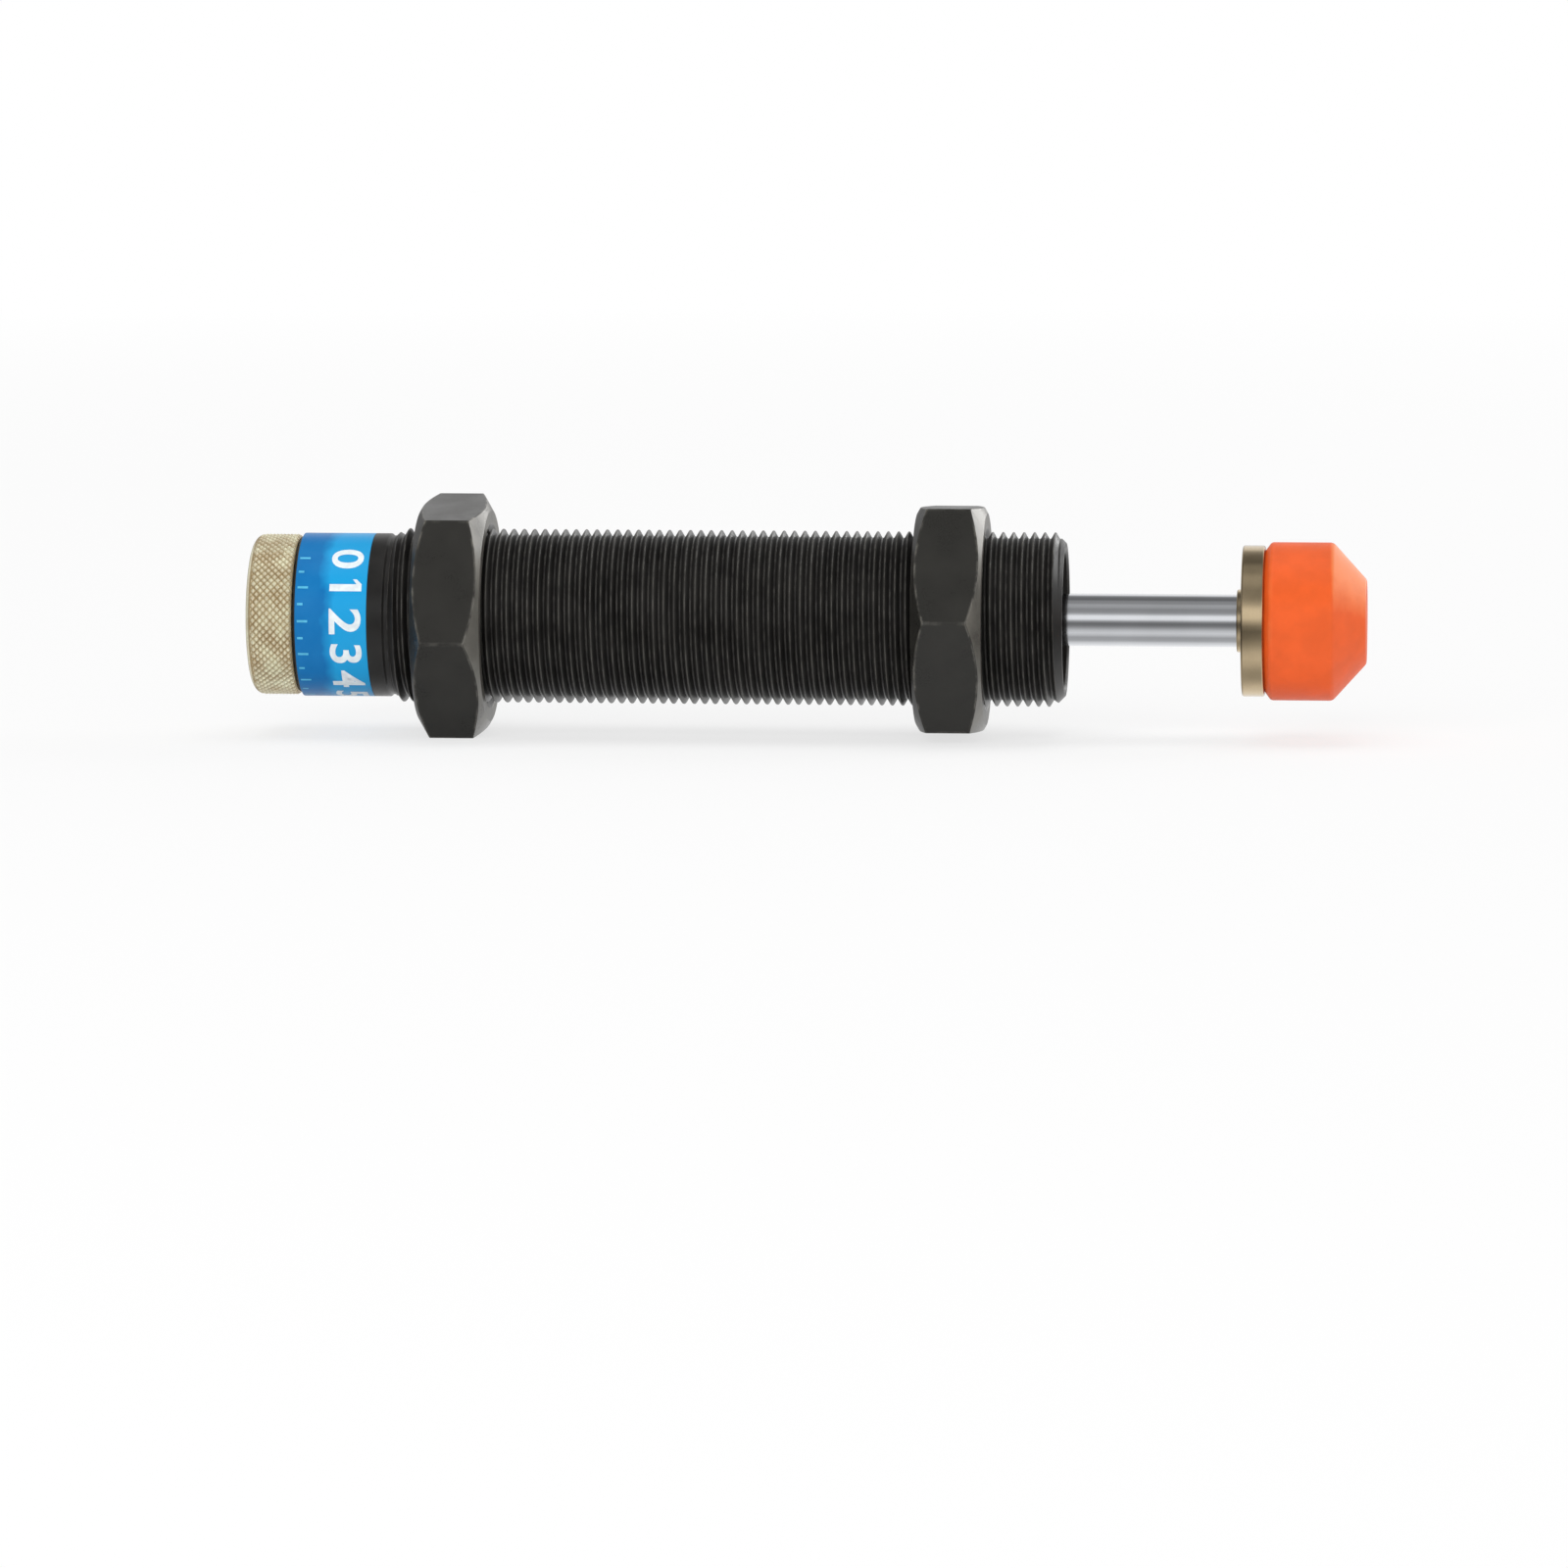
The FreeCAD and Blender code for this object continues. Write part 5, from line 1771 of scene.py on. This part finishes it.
@dataclass
class Studio:
    """White floor, soft lamps, plain surroundings and the camera, in metres and degrees.

    The lens is in millimetres, and sight is how far the camera sees. The sky has stops of
    elevation in degrees and level, for the side towards the camera and the side behind the
    absorber. Gloss sees it all round, below the floor too. Each dimming of the sky has how far
    a way points along X where it begins and where it is full, and its share.
    """

    floor_height: float
    centre: Vector = field(default_factory=lambda: Vector((-0.03725, 0.0, 0.0)))
    azimuth: float = 4.8
    elevation: float = 5.0
    distance: float = 1.25
    lens: float = 200.0
    sight: float = 100.0
    shift: Span = (-0.0144, -0.106)
    floor_size: float = 40.0
    floor_cells: int = 8
    floor_tone: float = 0.9
    floor_roughness: float = 0.9
    lift: float = 0.7
    lift_reach: Span = (0.1, 1.2)
    sky_front: tuple[Span, ...] = (
        (-90, 0.45), (-80, 0.41), (-67, 0.63), (-55, 0.78), (-43, 0.67), (-32, 0.43), (-21, 0.24),
        (-11, 0.18), (-3, 0.3), (3, 0.6), (9, 1.0), (22, 1.0), (30, 0.56), (38, 0.35), (53, 0.3),
        (65, 0.42), (77, 0.44), (90, 0.3),
    )
    sky_back: tuple[Span, ...] = (
        (-90, 0.45), (-84, 0.5), (-66, 0.8), (-41, 1.0), (-15, 1.0), (-3, 0.5), (3, 0.5), (10, 1.0),
        (33, 0.9), (45, 0.35), (56, 0.2), (75, 0.16), (90, 0.3),
    )
    sky_seam: float = 0.25
    sky_dark: Colour = (0.03, 0.03, 0.03)
    past_left_end: Triple = (-0.7, -0.9, 0.75)
    on_the_left: Triple = (-0.1, -0.3, 0.5)
    softboxes: tuple[Softbox, ...] = (
        Softbox("top_box", (-0.1, 0.1, 1.4), (1.6, 1.0), 10.2),
        Softbox("front_box", (-0.3, -1.4, 0.7), (1.2, 0.8), 9.8),
        Softbox("side_box", (0.8, 1.25, 0.22), (0.9, 0.35), 3.0, mirrored=True),
        Softbox("end_box", (1.15, 0.75, 0.62), (0.7, 0.5), 2.6, mirrored=True),
    )

    def ground(self) -> None:
        """Lays the floor, which keeps its shadows."""
        mesh = bpy.data.meshes.new("floor")
        shape = bmesh.new()
        bmesh.ops.create_grid(
            shape, x_segments=self.floor_cells, y_segments=self.floor_cells, size=self.floor_size / 2,
            matrix=Matrix.Translation((0, 0, self.floor_height)),
        )
        shape.to_mesh(mesh)
        shape.free()
        mesh.materials.append(self.white_floor())
        floor = linked("floor", mesh)
        floor.visible_glossy = False
        floor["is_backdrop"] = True

    def white_floor(self) -> bpy.types.Material:
        """The floor's finish: matt white, lifted towards plain white where it is seen.

        Returns:
            The material.
        """
        surface = Surface("white_floor")
        surface.feed("Base Color", (self.floor_tone, self.floor_tone, self.floor_tone, 1.0))
        surface.feed("Roughness", self.floor_roughness)
        surface.feed("Specular IOR Level", 0.0)
        glow = surface.add("Emission", {"Color": (1.0, 1.0, 1.0, 1.0), "Strength": 1.0})
        away = surface.measure("LENGTH", surface.add("TexCoord").outputs["Object"])
        far = surface.spread(away, *self.lift_reach, self.lift, 1.0)
        share = surface.math("MULTIPLY", self.seen(surface), far)
        inputs = {0: share, 1: surface.shader.outputs[0], 2: glow.outputs[0]}
        surface.show(surface.add("MixShader", inputs))
        return surface.material

    @staticmethod
    def seen(canvas: Canvas) -> bpy.types.NodeSocket:
        """Tells what looks at the floor.

        Args:
            canvas: The floor's material in the making.

        Returns:
            1 for rays from the camera, from gloss and through glass, and 0 for the rest.
        """
        path = canvas.add("LightPath").outputs
        gloss = canvas.math("MAXIMUM", path["Is Glossy Ray"], path["Is Transmission Ray"])
        return canvas.math("MAXIMUM", path["Is Camera Ray"], gloss)

    def surroundings(self) -> None:
        """Lights the world with its bands of light, dimmer on the left and past the left end."""
        world = bpy.data.worlds.new("studio")
        bpy.context.scene.world = world
        world.use_nodes = True
        world.node_tree.nodes.clear()
        canvas = Canvas(world.node_tree)
        way = canvas.add("SeparateXYZ", {0: canvas.add("TexCoord").outputs["Generated"]}).outputs
        height = canvas.spread(way[2], -1.0, 1.0)
        front = self.ramp(canvas, height, self.sky_front)
        back = self.ramp(canvas, height, self.sky_back)
        tone = canvas.blend(canvas.spread(way[1], -self.sky_seam, self.sky_seam), front, back)
        dims = [
            canvas.spread(way[0], begin, full, 0.0, share)
            for begin, full, share in (self.past_left_end, self.on_the_left)
        ]
        tone = canvas.blend(canvas.math("MAXIMUM", *dims), tone, self.sky_dark)
        path = canvas.add("LightPath").outputs["Is Camera Ray"]
        shown = canvas.blend(path, tone, (1.0, 1.0, 1.0))
        light = canvas.add("Background", {"Color": shown, "Strength": 1.0})
        canvas.add("OutputWorld", {"Surface": light.outputs[0]})

    @staticmethod
    def ramp(canvas: Canvas, height: Value, stops: Sequence[Span]) -> bpy.types.NodeSocket:
        """A grey that changes with height.

        Args:
            canvas: The world's tree in the making.
            height: The height, from 0 straight down to 1 straight up.
            stops: Elevations in degrees and levels, from the lowest to the highest.

        Returns:
            The grey.
        """
        node = canvas.add("ValToRGB", {0: height})
        elements = node.color_ramp.elements
        for degrees, _ in stops[1:-1]:
            elements.new((math.sin(math.radians(degrees)) + 1) / 2)
        for element, (_, level) in zip(elements, stops):
            element.color = (level, level, level, 1.0)
        return node.outputs[0]

    def camera(self) -> None:
        """Puts the camera at the photograph's angle."""
        data = bpy.data.cameras.new("camera")
        data.lens = self.lens
        data.clip_end = self.sight
        data.shift_x, data.shift_y = self.shift
        turn, lift = math.radians(self.azimuth), math.radians(self.elevation)
        back = Vector((math.sin(turn) * math.cos(lift), -math.cos(turn) * math.cos(lift), math.sin(lift)))
        camera = linked("camera", data)
        camera.location = self.centre + back * self.distance
        camera.rotation_euler = (-back).to_track_quat("-Z", "Y").to_euler()
        bpy.context.scene.camera = camera

    def build(self) -> None:
        """Sets up the floor, the lamps, the surroundings and the camera."""
        self.ground()
        for softbox in self.softboxes:
            softbox.build(self.centre)
        self.surroundings()
        self.camera()
        bpy.context.scene.view_settings.view_transform = "Standard"
        log.info("studio: %d lamps", len(self.softboxes))


def main() -> None:
    """Builds the absorber from the outside inwards, then the studio round it."""
    logging.basicConfig(level=logging.INFO, format="%(message)s")
    palette = Palette()
    pieces = (
        ThreadedBody(palette),
        LockNut(palette, "rear_nut", "rear_lock_nut", Body.REAR_NUT, turn=8.2),
        LockNut(palette, "front_nut", "front_lock_nut", Body.FRONT_NUT, turn=-2.9),
        AdjusterKnob(palette),
        ScaleBand(palette),
        RodEnd(palette),
        ReturnSpring(palette),
        FrameParts(palette),
    )
    for piece in pieces:
        piece.build()
        log.info("%s done", type(piece).__name__)
    Studio(floor_height=min(CAD_BOX[0].z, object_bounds()[0].z)).build()


if __name__ == "__main__":
    main()
